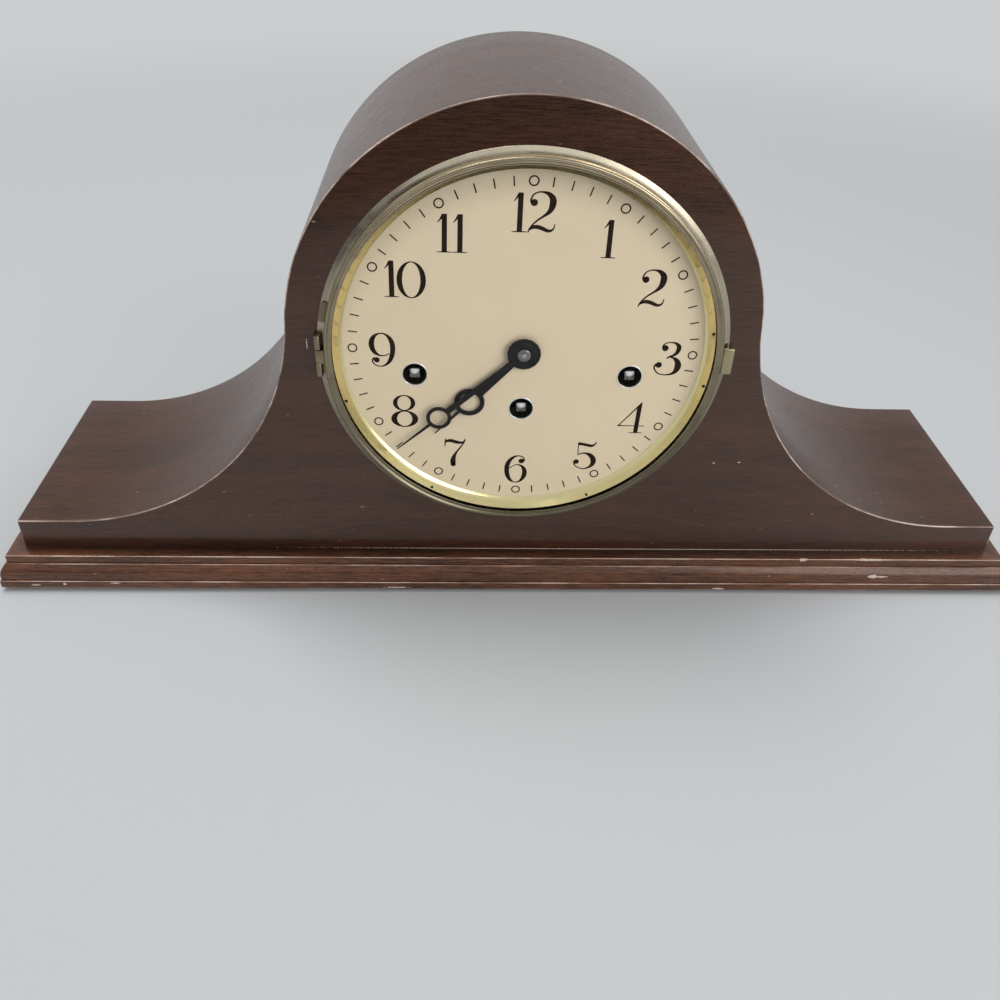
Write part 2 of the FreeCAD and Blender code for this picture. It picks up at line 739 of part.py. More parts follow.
def make_end_blocks():
    """A solid block in the tip of each wing, between the front and back boards."""
    start = num("board_back + glue_gap")
    deep = num("back_front - glue_gap") - start
    inner, outer = num("hollow_x"), num("case_wide / 2 - inset")
    high = num("wing_high - inset")
    right = block(inner, start, 0, outer - inner, deep, high)
    left = block(-outer, start, 0, outer - inner, deep, high)
    place(made("end_blocks", Part.makeCompound([left, right])))


def make_cleats():
    """Square glue cleats in the corner between the front board and the base."""
    side, long, reach = num("cleat_side"), num("cleat_long"), num("cleat_reach")
    start = num("board_back")
    cleats = [block(x - long / 2, start, 0, long, side, side) for x in (-reach, reach)]
    place(made("glue_cleats", Part.makeCompound(cleats)))


# Base

MOULDING = [
    ("base_ledge - moulding_wide", "0"),
    ("base_ledge", "0"),
    ("base_ledge", "-base_top_band"),
    ("base_ledge + base_step", "-base_top_band"),
    ("base_reach - base_step", "-(base_high - base_foot_band)",
     "base_high - base_top_band - base_foot_band", 1),
    ("base_reach", "-(base_high - base_foot_band)"),
    ("base_reach", "-base_high"),
    ("base_ledge - moulding_wide", "-base_high"),
]


def mitre_front(sign):
    """The waste beyond a mitre at one end of the front moulding, in plan."""
    end = "%s * (foot_half + base_step)" % sign
    inner = "%s * (case_wide / 2 + base_ledge - moulding_wide - base_step)" % sign
    return [
        (end, "-(base_reach + base_step)"),
        (end, "moulding_wide"),
        (inner, "moulding_wide"),
        (inner, "moulding_wide - base_ledge + base_step"),
    ]


def make_front_moulding():
    body = new_body("base_front_moulding")
    sketch = new_sketch(body, "side")
    outline(sketch, [("-(%s)" % corner[0], *corner[1:2], *flipped(corner)) for corner in MOULDING])
    feature = body.newObject("PartDesign::Pad", "front_moulding_pad")
    feature.Profile = sketch
    feature.SideType = "Symmetric"
    bind(feature, Length="2 * foot_half")
    for sign in ("1", "-1"):
        cut = paths(mitre_front(sign))
        pocket(body, cut, "base_high * 2", plane="plan", off="base_high / 2")
    place(body)


def make_side_moulding(name, sign):
    body = new_body(name)
    sketch = new_sketch(body, "front")
    mirrored = sign < 0
    path = []
    for corner in MOULDING:
        x = "%d * (case_wide / 2 + %s)" % (sign, corner[0])
        path.append((x, corner[1]) + (flipped(corner) if mirrored else corner[2:]))
    outline(sketch, path)
    feature = body.newObject("PartDesign::Pad", name + "_pad")
    feature.Profile = sketch
    feature.Reversed = True
    bind(feature, Length="case_deep + base_reach")
    pocket(body, paths(side_waste(sign)), "base_high * 2", plane="plan", off="base_high / 2")
    place(body, y="-base_reach")


def side_waste(sign):
    """The waste in front of a mitre on a side moulding, in plan: it runs at 45 degrees from the corner."""
    inner = "%d * (case_wide / 2 + base_ledge - moulding_wide)" % sign
    return [
        ("%d * foot_half" % sign, "0"),
        (inner, "base_reach - base_ledge + moulding_wide"),
        (inner, "-base_step"),
        ("%d * foot_half" % sign, "-base_step"),
    ]


def make_base():
    make_front_moulding()
    make_side_moulding("base_left_moulding", -1)
    make_side_moulding("base_right_moulding", 1)
    board = new_body("base_board")
    half = "case_wide / 2 + base_ledge - moulding_wide"
    front = "moulding_wide - base_ledge"
    corners = [("-(%s)" % half, front), (half, front), (half, "case_deep"), ("-(%s)" % half, "case_deep")]
    pad(board, paths(corners), "base_board_thick", plane="plan")
    place(board)
    make_pads()


def pad_places():
    """The four felt pads, as x and y."""
    x = num("foot_half - pad_inset")
    front, back = num("pad_inset - base_reach"), num("case_deep - pad_inset")
    return [(side * x, y) for side in (-1, 1) for y in (front, back)]


def make_pads():
    radius, thick = num("pad_radius"), num("pad_thick")
    disc = turned_to(polygon_prism(ring_points(radius, FELT_SIDES), 0, thick), "z")
    pads = [disc.translated(Vector(x, y, -num("base_top"))) for x, y in pad_places()]
    place(made("felt_pads", Part.makeCompound(pads)))


# Back door

def make_back_door():
    """The round-headed door with a row of upright sound slots."""
    door = new_body("back_door")
    slots = int(num("slot_count"))

    def draw(sketch):
        outline(sketch, door_path("-door_gap"))
        for index in range(slots):
            middle = "slot_pitch * (%d - (slot_count - 1) / 2)" % index
            left, right = middle + " - slot_wide / 2", middle + " + slot_wide / 2"
            outline(sketch, box_path(left, right, "slot_high - slot_long / 2", "slot_high + slot_long / 2"))

    pad(door, draw, "door_thick")
    place(door, y="door_face")


def make_knob():
    """A turned brass knob: a neck, then a rim that tapers to a flat end."""
    reach, neck, rim = num("knob_reach"), num("knob_neck"), num("knob_radius")
    sides = sides_for(rim)
    start = reach * NECK_SHARE
    stem = rod(neck, 0, start)
    wires = []
    for radius, y in ((neck, start), (rim, reach * RIM_SHARE), (neck, reach)):
        points = ring_points(radius, sides)
        wires.append(Part.makePolygon([Vector(x, y, z) for x, z in points + points[:1]]))
    head = [Part.makeLoft(pair, True, True) for pair in (wires[:2], wires[1:])]
    knob = made("door_knob", joined([stem] + head))
    place(knob, x="-(door_half - knob_inset)", y="case_deep", z="slot_high")


# Dial and bezel

def make_dial():
    pan = turned("dial_pan", [
        ("pan_radius", "0"), ("pan_radius", "-pan_thick"), ("pan_mouth", "-pan_thick"),
        ("dial_radius", "dial_set_back + dial_thick"),
        ("dial_radius + pan_thick", "dial_set_back + dial_thick"), ("pan_mouth + pan_thick", "0"),
    ])
    place_in_movement(pan)
    holes = [
        ("0", "0", "centre_hole"),
        ("-side_hole_reach", "-side_hole_drop", "winding_hole"),
        ("side_hole_reach", "-side_hole_drop", "winding_hole"),
        ("0", "-lower_hole_drop", "winding_hole"),
    ]
    dial = new_body("dial_plate")

    def draw(sketch):
        circle(sketch, "0", "0", "dial_radius")
        for hole in holes:
            flat_hole(sketch, *hole, WINDING_HOLE_SIDES)

    pad(dial, draw, "dial_thick")
    place_in_movement(dial, y="dial_set_back")


def make_bezel():
    bezel = turned("bezel", [
        ("bezel_radius", "-(pan_thick + bezel_gap)"), ("bezel_radius", "-bezel_front"),
        ("bezel_inner", "-bezel_edge"), ("bezel_inner", "-(bezel_edge - bezel_sheet)"),
        ("bezel_wall_in", "-(bezel_front - bezel_sheet)"), ("bezel_wall_in", "-(pan_thick + bezel_gap)"),
    ])
    place_in_movement(bezel)
    glass = turned("bezel_glass", [
        ("0", "-glass_back"), ("bezel_wall_in - glass_gap", "-glass_back"),
        ("bezel_wall_in - glass_gap", "-glass_front"), ("0", "-glass_front"),
    ])
    place_in_movement(glass)
    tab = new_body("bezel_tab")
    shape = box_path("bezel_radius", "bezel_radius + tab_wide", "-tab_high / 2", "tab_high / 2")
    pad(tab, paths(shape), "tab_thick")
    place_in_movement(tab, y="-(bezel_front - bezel_sheet)")


def make_bezel_hinge():
    """Two leaves about one upright pin: the outer knuckles are the fixed ring's, the middle one is the bezel's."""
    pin, knuckle, gap = num("bezel_hinge_pin"), num("bezel_knuckle"), num("knuckle_gap")
    long, out = num("bezel_hinge_long"), num("bezel_hinge_out")
    third = long / 3
    fixed = []
    for low in (-long / 2, long / 2 - third):
        barrel = upright(knuckle, low, low + third)
        foot = block(-knuckle, 0, low, 2 * knuckle, num("bezel_hinge_front - pan_thick"), third)
        fixed.append(joined([barrel, foot]))
    shaft = upright(pin, -long / 2, long / 2)
    holder = joined([fixed[0], fixed[1], shaft])
    place_in_movement(made("bezel_hinge_fixed", holder), x="-bezel_hinge_x", y="-bezel_hinge_front")
    middle_long = third - 2 * gap
    middle = upright(knuckle, -middle_long / 2, middle_long / 2)
    arm = block(0, -knuckle, -middle_long / 2, out, knuckle, middle_long)
    hole = upright(pin + num("running_gap"), -long / 2, long / 2, hollow=True)
    moving = made("bezel_hinge_moving", joined([middle, arm]).cut(hole))
    place_in_movement(moving, x="-bezel_hinge_x", y="-bezel_hinge_front")


def make_door_hinges():
    """Two butt hinges on the outside: a leaf and two knuckles on the board, a leaf and one on the door."""
    long, gap = num("hinge_long"), num("knuckle_gap")
    pin, knuckle = num("hinge_pin"), num("hinge_knuckle")
    wide, thick = num("hinge_leaf_wide"), num("hinge_leaf_thick")
    third = long / 3
    clear = knuckle + gap
    board_parts, door_parts = [], []
    for middle in (num("hinge_low"), num("hinge_low + hinge_rise")):
        low = middle - long / 2
        leaf = block(clear, -knuckle, low, wide, thick, long)
        web = block(0, -knuckle, low, clear, thick, third)
        web_top = web.translated(Vector(0, 0, long - third))
        ends = [upright(knuckle, at, at + third) for at in (low, low + long - third)]
        shaft = upright(pin, low, low + long)
        board_parts.append(joined([leaf, web, web_top, shaft] + ends))
        inner = third - 2 * gap
        leaf = block(-clear - wide, -knuckle, low, wide, thick, long)
        web = block(-clear, -knuckle, middle - inner / 2, clear, thick, inner)
        barrel = upright(knuckle, middle - inner / 2, middle + inner / 2)
        hole = upright(pin + num("running_gap"), low, low + long, hollow=True)
        door_parts.append(joined([leaf, web, barrel]).cut(hole))
    place(made("door_hinge_fixed", Part.makeCompound(board_parts)), x="hinge_x", y="hinge_y")
    place(made("door_hinge_moving", Part.makeCompound(door_parts)), x="hinge_x", y="hinge_y")


# Hands

def make_hand(name, kind, boss, bore, y):
    """A pierced-ring hand pointing up: blade, ring with its eye, and a drawn-out tip."""
    body = new_body(name)
    at, ring, eye = kind + "_ring_at", kind + "_ring", kind + "_eye"
    root, wide, long = kind + "_root / 2", kind + "_wide / 2", kind + "_long"
    blade = [("-" + root, "0"), (root, "0"), (wide, at + " - " + eye), ("-" + wide, at + " - " + eye)]
    tip = [
        ("-tip_wide / 2", at + " + " + eye), ("tip_wide / 2", at + " + " + eye),
        ("tip_point / 2", long), ("-tip_point / 2", long),
    ]
    pad(body, paths(blade), "hand_thick")
    pad(body, lambda sketch: flat_hole(sketch, "0", "0", boss, BOSS_SIDES), "hand_thick")
    pad(body, lambda sketch: circle(sketch, "0", at, ring), "hand_thick")
    pad(body, paths(tip), "hand_thick")
    pocket(body, lambda sketch: circle(sketch, "0", at, eye), "hand_thick")
    pocket(body, lambda sketch: flat_hole(sketch, "0", "0", bore), "hand_thick")
    return place_in_movement(body, y=y, angle=kind + "_angle")


def make_hands():
    make_hand("hour_hand", "hour", "hour_boss", "pipe_radius", "hour_front")
    make_hand("minute_hand", "minute", "minute_boss", "centre_radius", "minute_front")
    front, radius = num("nut_front"), num("nut_radius")
    disc = rod(radius, -front / 2, 0)
    dome = rod(radius * NUT_SHOULDER_SHARE, -front, 0)
    place_in_movement(made("hand_nut", joined([disc, dome])), y="minute_front")


# Movement frame

def plate_path(bottom):
    """A movement plate with rounded corners, from the dial's centre."""
    half, top, low, corner = "plate_half", "plate_top", "-" + bottom, "plate_corner"
    return [
        ("-(%s - %s)" % (half, corner), low, corner, 1),
        ("%s - %s" % (half, corner), low),
        (half, "%s + %s" % (low, corner), corner, 1),
        (half, "%s - %s" % (top, corner)),
        ("%s - %s" % (half, corner), top, corner, 1),
        ("-(%s - %s)" % (half, corner), top),
        ("-" + half, "%s - %s" % (top, corner), corner, 1),
        ("-" + half, "%s + %s" % (low, corner)),
    ]


PLACES = {
    "centre": ("0", "0"),
    "time": ("0", "-lower_hole_drop"),
    "strike": ("side_hole_reach", "-side_hole_drop"),
    "chime": ("-side_hole_reach", "-side_hole_drop"),
    "inter": ("inter_x", "-inter_drop"),
    "third": ("third_x", "third_z"),
    "escape": ("escape_x", "escape_z"),
    "pallet": ("pallet_x", "escape_z"),
    "balance": ("balance_x", "escape_z"),
    "strike_second": ("side_hole_reach", "second_z"),
    "chime_second": ("-side_hole_reach", "second_z"),
    "strike_fly": ("fly_x", "fly_z"),
    "chime_fly": ("-fly_x", "fly_z"),
    "stud": ("0", "stud_z"),
    "pin_drum": ("-side_hole_reach", "pin_drum_z"),
    "hammer": ("hammer_x", "-hammer_drop"),
}
SMALL_PIVOTS = ("inter", "third", "escape", "pallet", "balance", "strike_second", "strike_fly", "chime_fly")
BARRELS = ("time", "strike", "chime")
COCK_POSTS = [
    ("-(side_hole_reach + drum_wheel_pitch + cock_post)", "pin_drum_z + drum_wheel_pitch"),
    ("hammer_x + drum_wheel_pitch", "-hammer_drop + hammer_arm"),
]


def click_place(train):
    """The click's stud, up and to the right of its winding arbor."""
    x, z = PLACES[train]
    return x + " + click_reach * cos(45)", z + " + click_reach * sin(45)"


def holes_at(names, radius):
    """Pivot holes at named places, with running clearance round a shaft of this radius."""
    return [PLACES[name] + (radius + " + running_gap",) for name in names]


def make_plates():
    pivots = holes_at(SMALL_PIVOTS, "pivot_radius")
    fronts = holes_at(BARRELS, "winding_radius") + holes_at(["centre"], "centre_radius")
    fronts += holes_at(["chime_second"], "pivot_radius")
    front = plate("front_plate", plate_path("plate_drop"), "plate_thick", (), pivots + fronts)

    def studs(sketch):
        flat_hole(sketch, *PLACES["stud"], "arbor_radius * cos(180 / 8)")
        for train in BARRELS:
            flat_hole(sketch, *click_place(train), "click_stud * cos(180 / 8)")

    pad(front, studs, "ratchet_gap + ratchet_thick + plate_thick", back=False)
    place_in_movement(front, y="plate_front")
    rears = holes_at(BARRELS, "rear_pivot") + holes_at(["centre", "pin_drum"], "pivot_radius")
    rears += holes_at(["chime_second"], "arbor_radius")
    back = plate("back_plate", plate_path("plate_drop"), "plate_thick", (), pivots + rears)
    place_in_movement(back, y="rear_front")


def pillar_spots():
    x, up, down = num("pillar_x"), num("pillar_up"), num("pillar_down")
    return [(side * x, z) for side in (-1, 1) for z in (up, -down)]


def make_pillars():
    radius = num("pillar_radius")
    start, end = num("plate_back"), num("rear_front")
    posts = [rod(radius, start, end, x, z) for x, z in pillar_spots()]
    place_in_movement(made("plate_pillars", Part.makeCompound(posts)))
    nuts = []
    half = num("nut_across") / 2
    for x, z in pillar_spots():
        nuts.append(polygon_prism(ring_points(half, 6, x, z), num("rear_back"), num("nut_thick")))
    place_in_movement(made("pillar_nuts", Part.makeCompound(nuts)))


def make_feet():
    """Lugs at the front plate's corners, each on a post that stands on the back of the front board."""
    out, wide, thick = num("foot_out"), num("foot_wide"), num("foot_thick")
    half, post_radius = num("plate_half"), num("foot_post")
    face = num("plate_front") - thick
    feet = []
    for x, z in pillar_spots():
        side = math.copysign(1, x)
        inner, outer = side * (half - wide), side * (half + out)
        strap = block(min(inner, outer), face, z - wide / 2, abs(outer - inner), thick, wide)
        post = rod(post_radius, num("board_back"), face, outer - side * post_radius, z)
        feet.append(joined([strap, post]))
    place_in_movement(made("movement_feet", Part.makeCompound(feet)))


# Going train and its barrels

def shaft(*steps):
    """A stepped shaft about Y: runs of (start, end, radius), each meeting the next."""
    return joined([rod(radius, start, end) for start, end, radius in steps])


def pivoted(*inner):
    """An arbor between the plates with a pivot in each, and what it carries."""
    front, back = num("plate_front"), num("rear_back")
    gap = num("knuckle_gap")
    pivots = rod(num("pivot_radius"), front, back)
    body = rod(num("arbor_radius"), num("plate_back") + gap, num("rear_front") - gap)
    return joined([pivots, body] + list(inner))


def set_at(name, shape, where):
    """Stand a finished shape at a named place of the movement."""
    return place_in_movement(made(name, shape), PLACES[where][0], "0", PLACES[where][1])


def make_barrel(train, wheel_start, phase):
    """A spring barrel with its great wheel, running on the winding arbor."""
    start, end, thick = num("drum_start"), num("drum_end"), num("great_thick")
    drum = rod(num("drum_radius"), start, end)
    wheel = toothed(int(num("great_teeth")), num("great_module"), wheel_start, thick, phase)
    hole = bore(num("winding_radius + running_gap"), start - 2 * thick, end + 2 * thick)
    set_at(train + "_barrel", joined([drum, wheel]).cut(hole), train)


def make_winding(train):
    """A winding arbor: a square for the key, the ratchet in front of the plate, and the arbor in its barrel."""
    side, front = num("square_side"), num("square_start")
    face = num("plate_front")
    ratchet_end = face - num("ratchet_gap")
    ratchet_start = ratchet_end - num("ratchet_thick")
    square = block(-side / 2, front, -side / 2, side, ratchet_start - front, side)
    radius = num("winding_radius")
    body = rod(radius, ratchet_start, num("drum_end + great_thick") + num("knuckle_gap"))
    pivot = rod(num("rear_pivot"), num("drum_end"), num("rear_back"))
    teeth, tip, deep = int(num("ratchet_teeth")), num("ratchet_radius"), num("ratchet_deep")
    ratchet = slanted(teeth, tip, deep, RATCHET_BACK_SHARE, ratchet_start, num("ratchet_thick"))
    set_at(train + "_winding_arbor", joined([square, body, pivot, ratchet]), train)


def make_click(train):
    """A click on its stud, its nose held just clear of the ratchet's tips."""
    boss, stud = num("click_boss"), num("click_stud + running_gap")
    thick = num("ratchet_thick")
    start = num("plate_front - ratchet_gap") - thick
    reach = num("click_reach")
    nose_radius = num("ratchet_radius + click_clear")
    # In the click's own frame the winding arbor lies down and to the left at 45 degrees.
    ax, az = -reach * math.cos(math.pi / 4), -reach * math.sin(math.pi / 4)
    nose = polar(nose_radius, 90)
    tip = (ax + nose[0], az + nose[1])
    back = polar(nose_radius + boss, 84)
    heel = (ax + back[0], az + back[1])
    low = polar(boss, 250)
    high = polar(boss, 60)
    beak = polygon_prism([tip, low, high, heel], start, thick)
    hub = rod(boss, start, start + thick)
    click = joined([beak, hub]).cut(bore(stud, start - thick, start + 2 * thick))
    place_in_movement(made(train + "_click", click), click_place(train)[0], "0", click_place(train)[1])


def make_going_train():
    """Barrel, intermediate, centre, third and escape arbors, each wheel driving the next one's pinion."""
    leaves, long, thick = int(num("pinion_teeth")), num("pinion_long"), num("wheel_thick")
    narrow, broad = num("arbor_radius") * 2, num("arbor_radius") * 3
    great_y = num("drum_start - great_thick")
    to_inter = direction(PLACES["time"], PLACES["inter"])
    make_barrel("time", great_y, to_inter)

    to_centre = direction(PLACES["inter"], PLACES["centre"])
    module = num("inter_module")
    inter_y = num("rear_front") - 4 * thick
    inter_pinion = pinion(leaves, num("great_module"), great_y, long, mesh_phase(leaves, to_inter))
    inter_wheel = train_wheel(int(num("inter_teeth")), module, inter_y, to_centre, broad)
    set_at("intermediate_wheel", pivoted(inter_pinion, inter_wheel), "inter")

    to_third = direction(PLACES["centre"], PLACES["third"])
    to_stud = direction(PLACES["centre"], PLACES["stud"])
    count = int(num("centre_pinion_teeth"))
    centre_y = num("plate_back") + thick
    cannon_y = num("plate_front - ratchet_gap") - long
    shoulder = num("rear_front - knuckle_gap")
    arbor = shaft(
        (num("minute_front"), shoulder, num("centre_radius")),
        (shoulder, num("rear_back"), num("pivot_radius")),
    )
    centre_pinion = pinion(count, module, inter_y - thick / 2, long, mesh_phase(count, to_centre))
    centre_wheel = train_wheel(int(num("centre_teeth")), num("going_module"), centre_y, to_third, broad)
    cannon = pinion(int(num("cannon_teeth")), num("motion_module"), cannon_y, long, to_stud)
    set_at("centre_arbor", joined([arbor, centre_pinion, centre_wheel, cannon]), "centre")

    to_escape = direction(PLACES["third"], PLACES["escape"])
    third_y = num("drum_start + great_thick")
    third_phase = mesh_phase(leaves, to_third)
    third_pinion = pinion(leaves, num("going_module"), centre_y - thick / 4, long, third_phase)
    third_wheel = train_wheel(int(num("third_teeth")), num("third_module"), third_y, to_escape, narrow)
    set_at("third_wheel", pivoted(third_pinion, third_wheel), "third")

    escape_y = third_y + 3 * num("great_thick")
    escape_phase = mesh_phase(leaves, to_escape)
    escape_pinion = pinion(leaves, num("third_module"), third_y - thick / 2, long, escape_phase)
    teeth, tip, deep = int(num("escape_teeth")), num("escape_radius"), num("escape_deep")
    escape = slanted(teeth, tip, deep, ESCAPE_BACK_SHARE, escape_y, thick, 180 / teeth)
    set_at("escape_wheel", pivoted(escape_pinion, escape), "escape")
    make_escapement(escape_y)


def make_escapement(escape_y):
    """A pallet lever that straddles the escape wheel, with its fork towards the balance staff."""
    thick = num("wheel_thick")
    reach = num("pallet_reach")
    clear = num("escape_radius + pallet_clear")
    arm = num("arm_wide")
    pads = []
    for sign in (1, -1):
        tip = polar(clear, 52 * sign)
        outer = polar(clear + arm, 48 * sign)
        root = (reach, sign * arm)
        heel = (reach + arm / 2, -sign * arm / 2)
        pads.append(polygon_prism([(x - reach, z) for x, z in (tip, outer, root, heel)], escape_y, thick))
    fork_end = num("balance_reach - arbor_radius - pallet_clear")
    fork = block(0, escape_y, -arm / 4, fork_end, thick, arm / 2)
    hub = rod(arm, escape_y, escape_y + thick)
    set_at("pallet_lever", pivoted(hub, fork, *pads), "pallet")
    rim_out = num("balance_radius")
    rim_in = rim_out - num("balance_rim")
    balance_y = escape_y + thick * 4
    rim = rod(rim_out, balance_y, balance_y + thick).cut(bore(rim_in, balance_y, balance_y + thick))
    bar = block(-rim_in, balance_y, -arm / 2, 2 * rim_in, thick, arm)
    roller = rod(arm, balance_y, balance_y + thick)
    set_at("balance_wheel", pivoted(rim, bar, roller), "balance")


def make_motion_work():
    long = num("pinion_long")
    to_stud = direction(PLACES["centre"], PLACES["stud"])
    start = num("plate_front - ratchet_gap") - long
    thick = num("wheel_thick")
    count = int(num("minute_wheel_teeth"))
    big = toothed(count, num("motion_module"), start + thick / 2, thick, mesh_phase(count, to_stud))
    small_count = int(num("hour_pinion_teeth"))
    small = pinion(small_count, num("hour_module"), start - long, long + thick, to_stud + 180)
    hole = bore(num("arbor_radius + running_gap"), start - 2 * long, start + 2 * long)
    set_at("minute_wheel", joined([big, small]).cut(hole), "stud")
    teeth = int(num("hour_teeth"))
    hour_y = start - long + thick / 4
    gear = toothed(teeth, num("hour_module"), hour_y, thick, mesh_phase(teeth, to_stud + 180))
    pipe = rod(num("pipe_radius"), num("hour_front"), hour_y + thick)
    hole = bore(num("centre_radius + running_gap"), num("hour_front") - thick, hour_y + 2 * thick)
    set_at("hour_wheel", joined([gear, pipe]).cut(hole), "centre")


# Strike and chime trains

def make_side_train(train, extra):
    """Barrel, second wheel and fly of the strike or the chime."""
    leaves, long, thick = int(num("pinion_teeth")), num("pinion_long"), num("wheel_thick")
    great_y = num("drum_end")
    to_second = direction(PLACES[train], PLACES[train + "_second"])
    make_barrel(train, great_y, to_second)

    module = num("second_module")
    second_y = num("rear_front") - 4 * thick
    to_fly = direction(PLACES[train + "_second"], PLACES[train + "_fly"])
    second_pinion = pinion(leaves, num("great_module"), great_y, long, mesh_phase(leaves, to_second))
    second = train_wheel(int(num("second_teeth")), module, second_y, to_fly, num("arbor_radius") * 2)
    set_at(train + "_second_wheel", pivoted(second_pinion, second, *extra), train + "_second")

    fly_pinion = pinion(leaves, module, second_y - thick / 2, long, mesh_phase(leaves, to_fly))
    reach, vane_thick = num("fly_reach"), num("fly_thick")
    vane = block(-reach, num("drum_start"), -vane_thick / 2, 2 * reach, num("fly_long"), vane_thick)
    set_at(train + "_fly", pivoted(fly_pinion, vane), train + "_fly")


def make_chime_drive():
    """The driving wheel on the chime train's second arbor, behind the back plate."""
    thick = num("wheel_thick")
    start = num("rear_back") + thick
    gear = toothed(int(num("drive_teeth")), num("drive_module"), start, thick, -90)
    return [rod(num("arbor_radius"), num("drum_end"), start + 2 * thick), gear]


def make_pin_drum():
    """A drum of lifting pins: each hammer has its own ring of pins, set round by the chime's tune."""
    start = num("rear_back + wheel_thick")
    teeth = int(num("drum_wheel_teeth"))
    gear = toothed(teeth, num("drive_module"), start, num("wheel_thick"), mesh_phase(teeth, -90))
    first, pitch, hub = num("hammer_first"), num("hammer_pitch"), num("hammer_hub_long")
    count = int(num("hammer_count"))
    drum = rod(num("pin_drum_radius"), first - hub / 2, num("cock_front - cock_gap / 2"))
    axle = rod(num("pivot_radius"), num("rear_front"), num("cock_front + cock_thick"))
    sleeve = rod(num("arbor_radius"), num("rear_back") + num("knuckle_gap"), first)
    side, reach = num("pin_side"), num("pin_reach")
    pins = []
    for index in range(count):
        y = first + pitch * index + hub / 2
        for beat in range(2):
            pin = block(-side / 2, y - side / 2, 0, side, side, reach)
            pin.rotate(Vector(), AXIS, 180 * beat + 180 / count * index)
            pins.append(pin)
    set_at("chime_drum", joined([drum, axle, sleeve, gear] + pins), "pin_drum")


def make_hammers():
    """Hammers side by side on one shaft: a tail up beside the pins and an arm out to the head above its rod."""
    hub, hub_long = num("hammer_hub"), num("hammer_hub_long")
    arm, thick = num("hammer_arm"), num("hammer_arm_thick")
    tail_x, tail_z = num("pin_reach + tail_gap - side_hole_reach - hammer_x"), num("pin_drum_z + hammer_drop")
    head_x, head_z = -num("head_out"), num("hammer_drop - head_drop")
    tail = [(-arm / 2, 0), (arm / 2, 0), (tail_x + arm, tail_z), (tail_x, tail_z)]
    beam = [(0, -arm / 2), (0, arm / 2), (head_x, head_z + arm), (head_x, head_z)]
    half = num("hammer_head_long") / 2
    for index in range(int(num("hammer_count"))):
        y = num("hammer_first") + index * num("hammer_pitch")
        blade = y + (hub_long - thick) / 2
        parts = [rod(hub, y, y + hub_long), polygon_prism(tail, blade, thick), polygon_prism(beam, blade, thick)]
        parts.append(upright(num("hammer_head"), head_z - half, head_z + half, head_x, blade + thick / 2))
        hole = bore(num("hammer_shaft + running_gap"), y - hub_long, y + 2 * hub_long)
        set_at("chime_hammer_%d" % (index + 1), joined(parts).cut(hole), "hammer")


def strap(start, end, wide, front, thick):
    """A flat bar with round ends between two (x, z) points."""
    dx, dz = end[0] - start[0], end[1] - start[1]
    long = math.hypot(dx, dz)
    sx, sz = -dz / long * wide / 2, dx / long * wide / 2
    corners = [(start[0] + sx, start[1] + sz), (start[0] - sx, start[1] - sz)]
    corners += [(end[0] - sx, end[1] - sz), (end[0] + sx, end[1] + sz)]
    return [polygon_prism(corners, front, thick)] + [rod(wide / 2, front, front + thick, *at) for at in (start, end)]


def make_hammer_frame():
    """The rear cock on two posts, with the shaft that the hammers swing on."""
    cock, thick, back = num("cock_front"), num("cock_thick"), num("rear_back")
    wide = num("cock_post") * 2
    posts_at = [(num(x), num(z)) for x, z in COCK_POSTS]
    drum_at, shaft_at = [(num(PLACES[name][0]), num(PLACES[name][1])) for name in ("pin_drum", "hammer")]
    bends = [posts_at[0], drum_at, shaft_at, posts_at[1]]
    pieces = []
    for start, end in zip(bends, bends[1:]):
        pieces += strap(start, end, wide, cock, thick)
    pieces += [rod(wide / 2, back, cock, *spot) for spot in posts_at]
    pieces.append(rod(num("hammer_shaft"), back, cock, *shaft_at))
    hole = bore(num("pivot_radius + running_gap"), cock - thick, cock + 2 * thick, *drum_at)
    set_at("hammer_frame", joined(pieces).cut(hole), "centre")


def make_rods():
    """Tuned rods, all fixed in one cast block on the base and each shorter than the one before it."""
    count = int(num("hammer_count"))
    first, pitch = num("hammer_first + hammer_hub_long / 2"), num("hammer_pitch")
    start = num("block_start")
    high, margin = num("block_high"), num("block_margin")
    rods = []
    for index in range(count):
        long = num("rod_long") - num("rod_less") * index
        y = first + pitch * index
        laid = turned_to(rod(num("rod_radius"), -long, 0), "x")
        rods.append(laid.translated(Vector(start, y, num("rod_high"))))
    place(made("chime_rods", Part.makeCompound(rods)))
    deep = pitch * (count - 1) + 2 * margin
    place(made("rod_block", block(start, first - margin, 0, num("block_wide"), deep, high)))


# Every piece, and its file

def make_all():
    make_case()
    make_base()
    make_back_door()
    make_knob()
    make_door_hinges()
    make_dial()
    make_bezel()
    make_bezel_hinge()
    make_hands()
    make_plates()
    make_pillars()
    make_feet()
    make_going_train()
    make_motion_work()
    make_side_train("strike", [])
    make_side_train("chime", make_chime_drive())
    for train in BARRELS:
        make_winding(train)
        make_click(train)
    make_pin_drum()
    make_hammers()
    make_hammer_frame()
    make_rods()


make_all()
doc.recompute()
failed = [thing.Name for thing in doc.Objects if "Invalid" in thing.State or "Error" in thing.State]
if failed:
    raise RuntimeError("these did not build: " + ", ".join(failed))
pieces = [thing for thing in doc.Objects if thing.TypeId in ("PartDesign::Body", "Part::Feature")]
for piece in pieces:
    if piece.Shape.isNull() or not piece.Shape.isValid():
        raise RuntimeError(piece.Label + " has no valid shape")
os.makedirs("parts", exist_ok=True)
for piece in pieces:
    piece.Shape.exportStep("parts/%s.step" % piece.Label)
print(len(pieces), "pieces written")
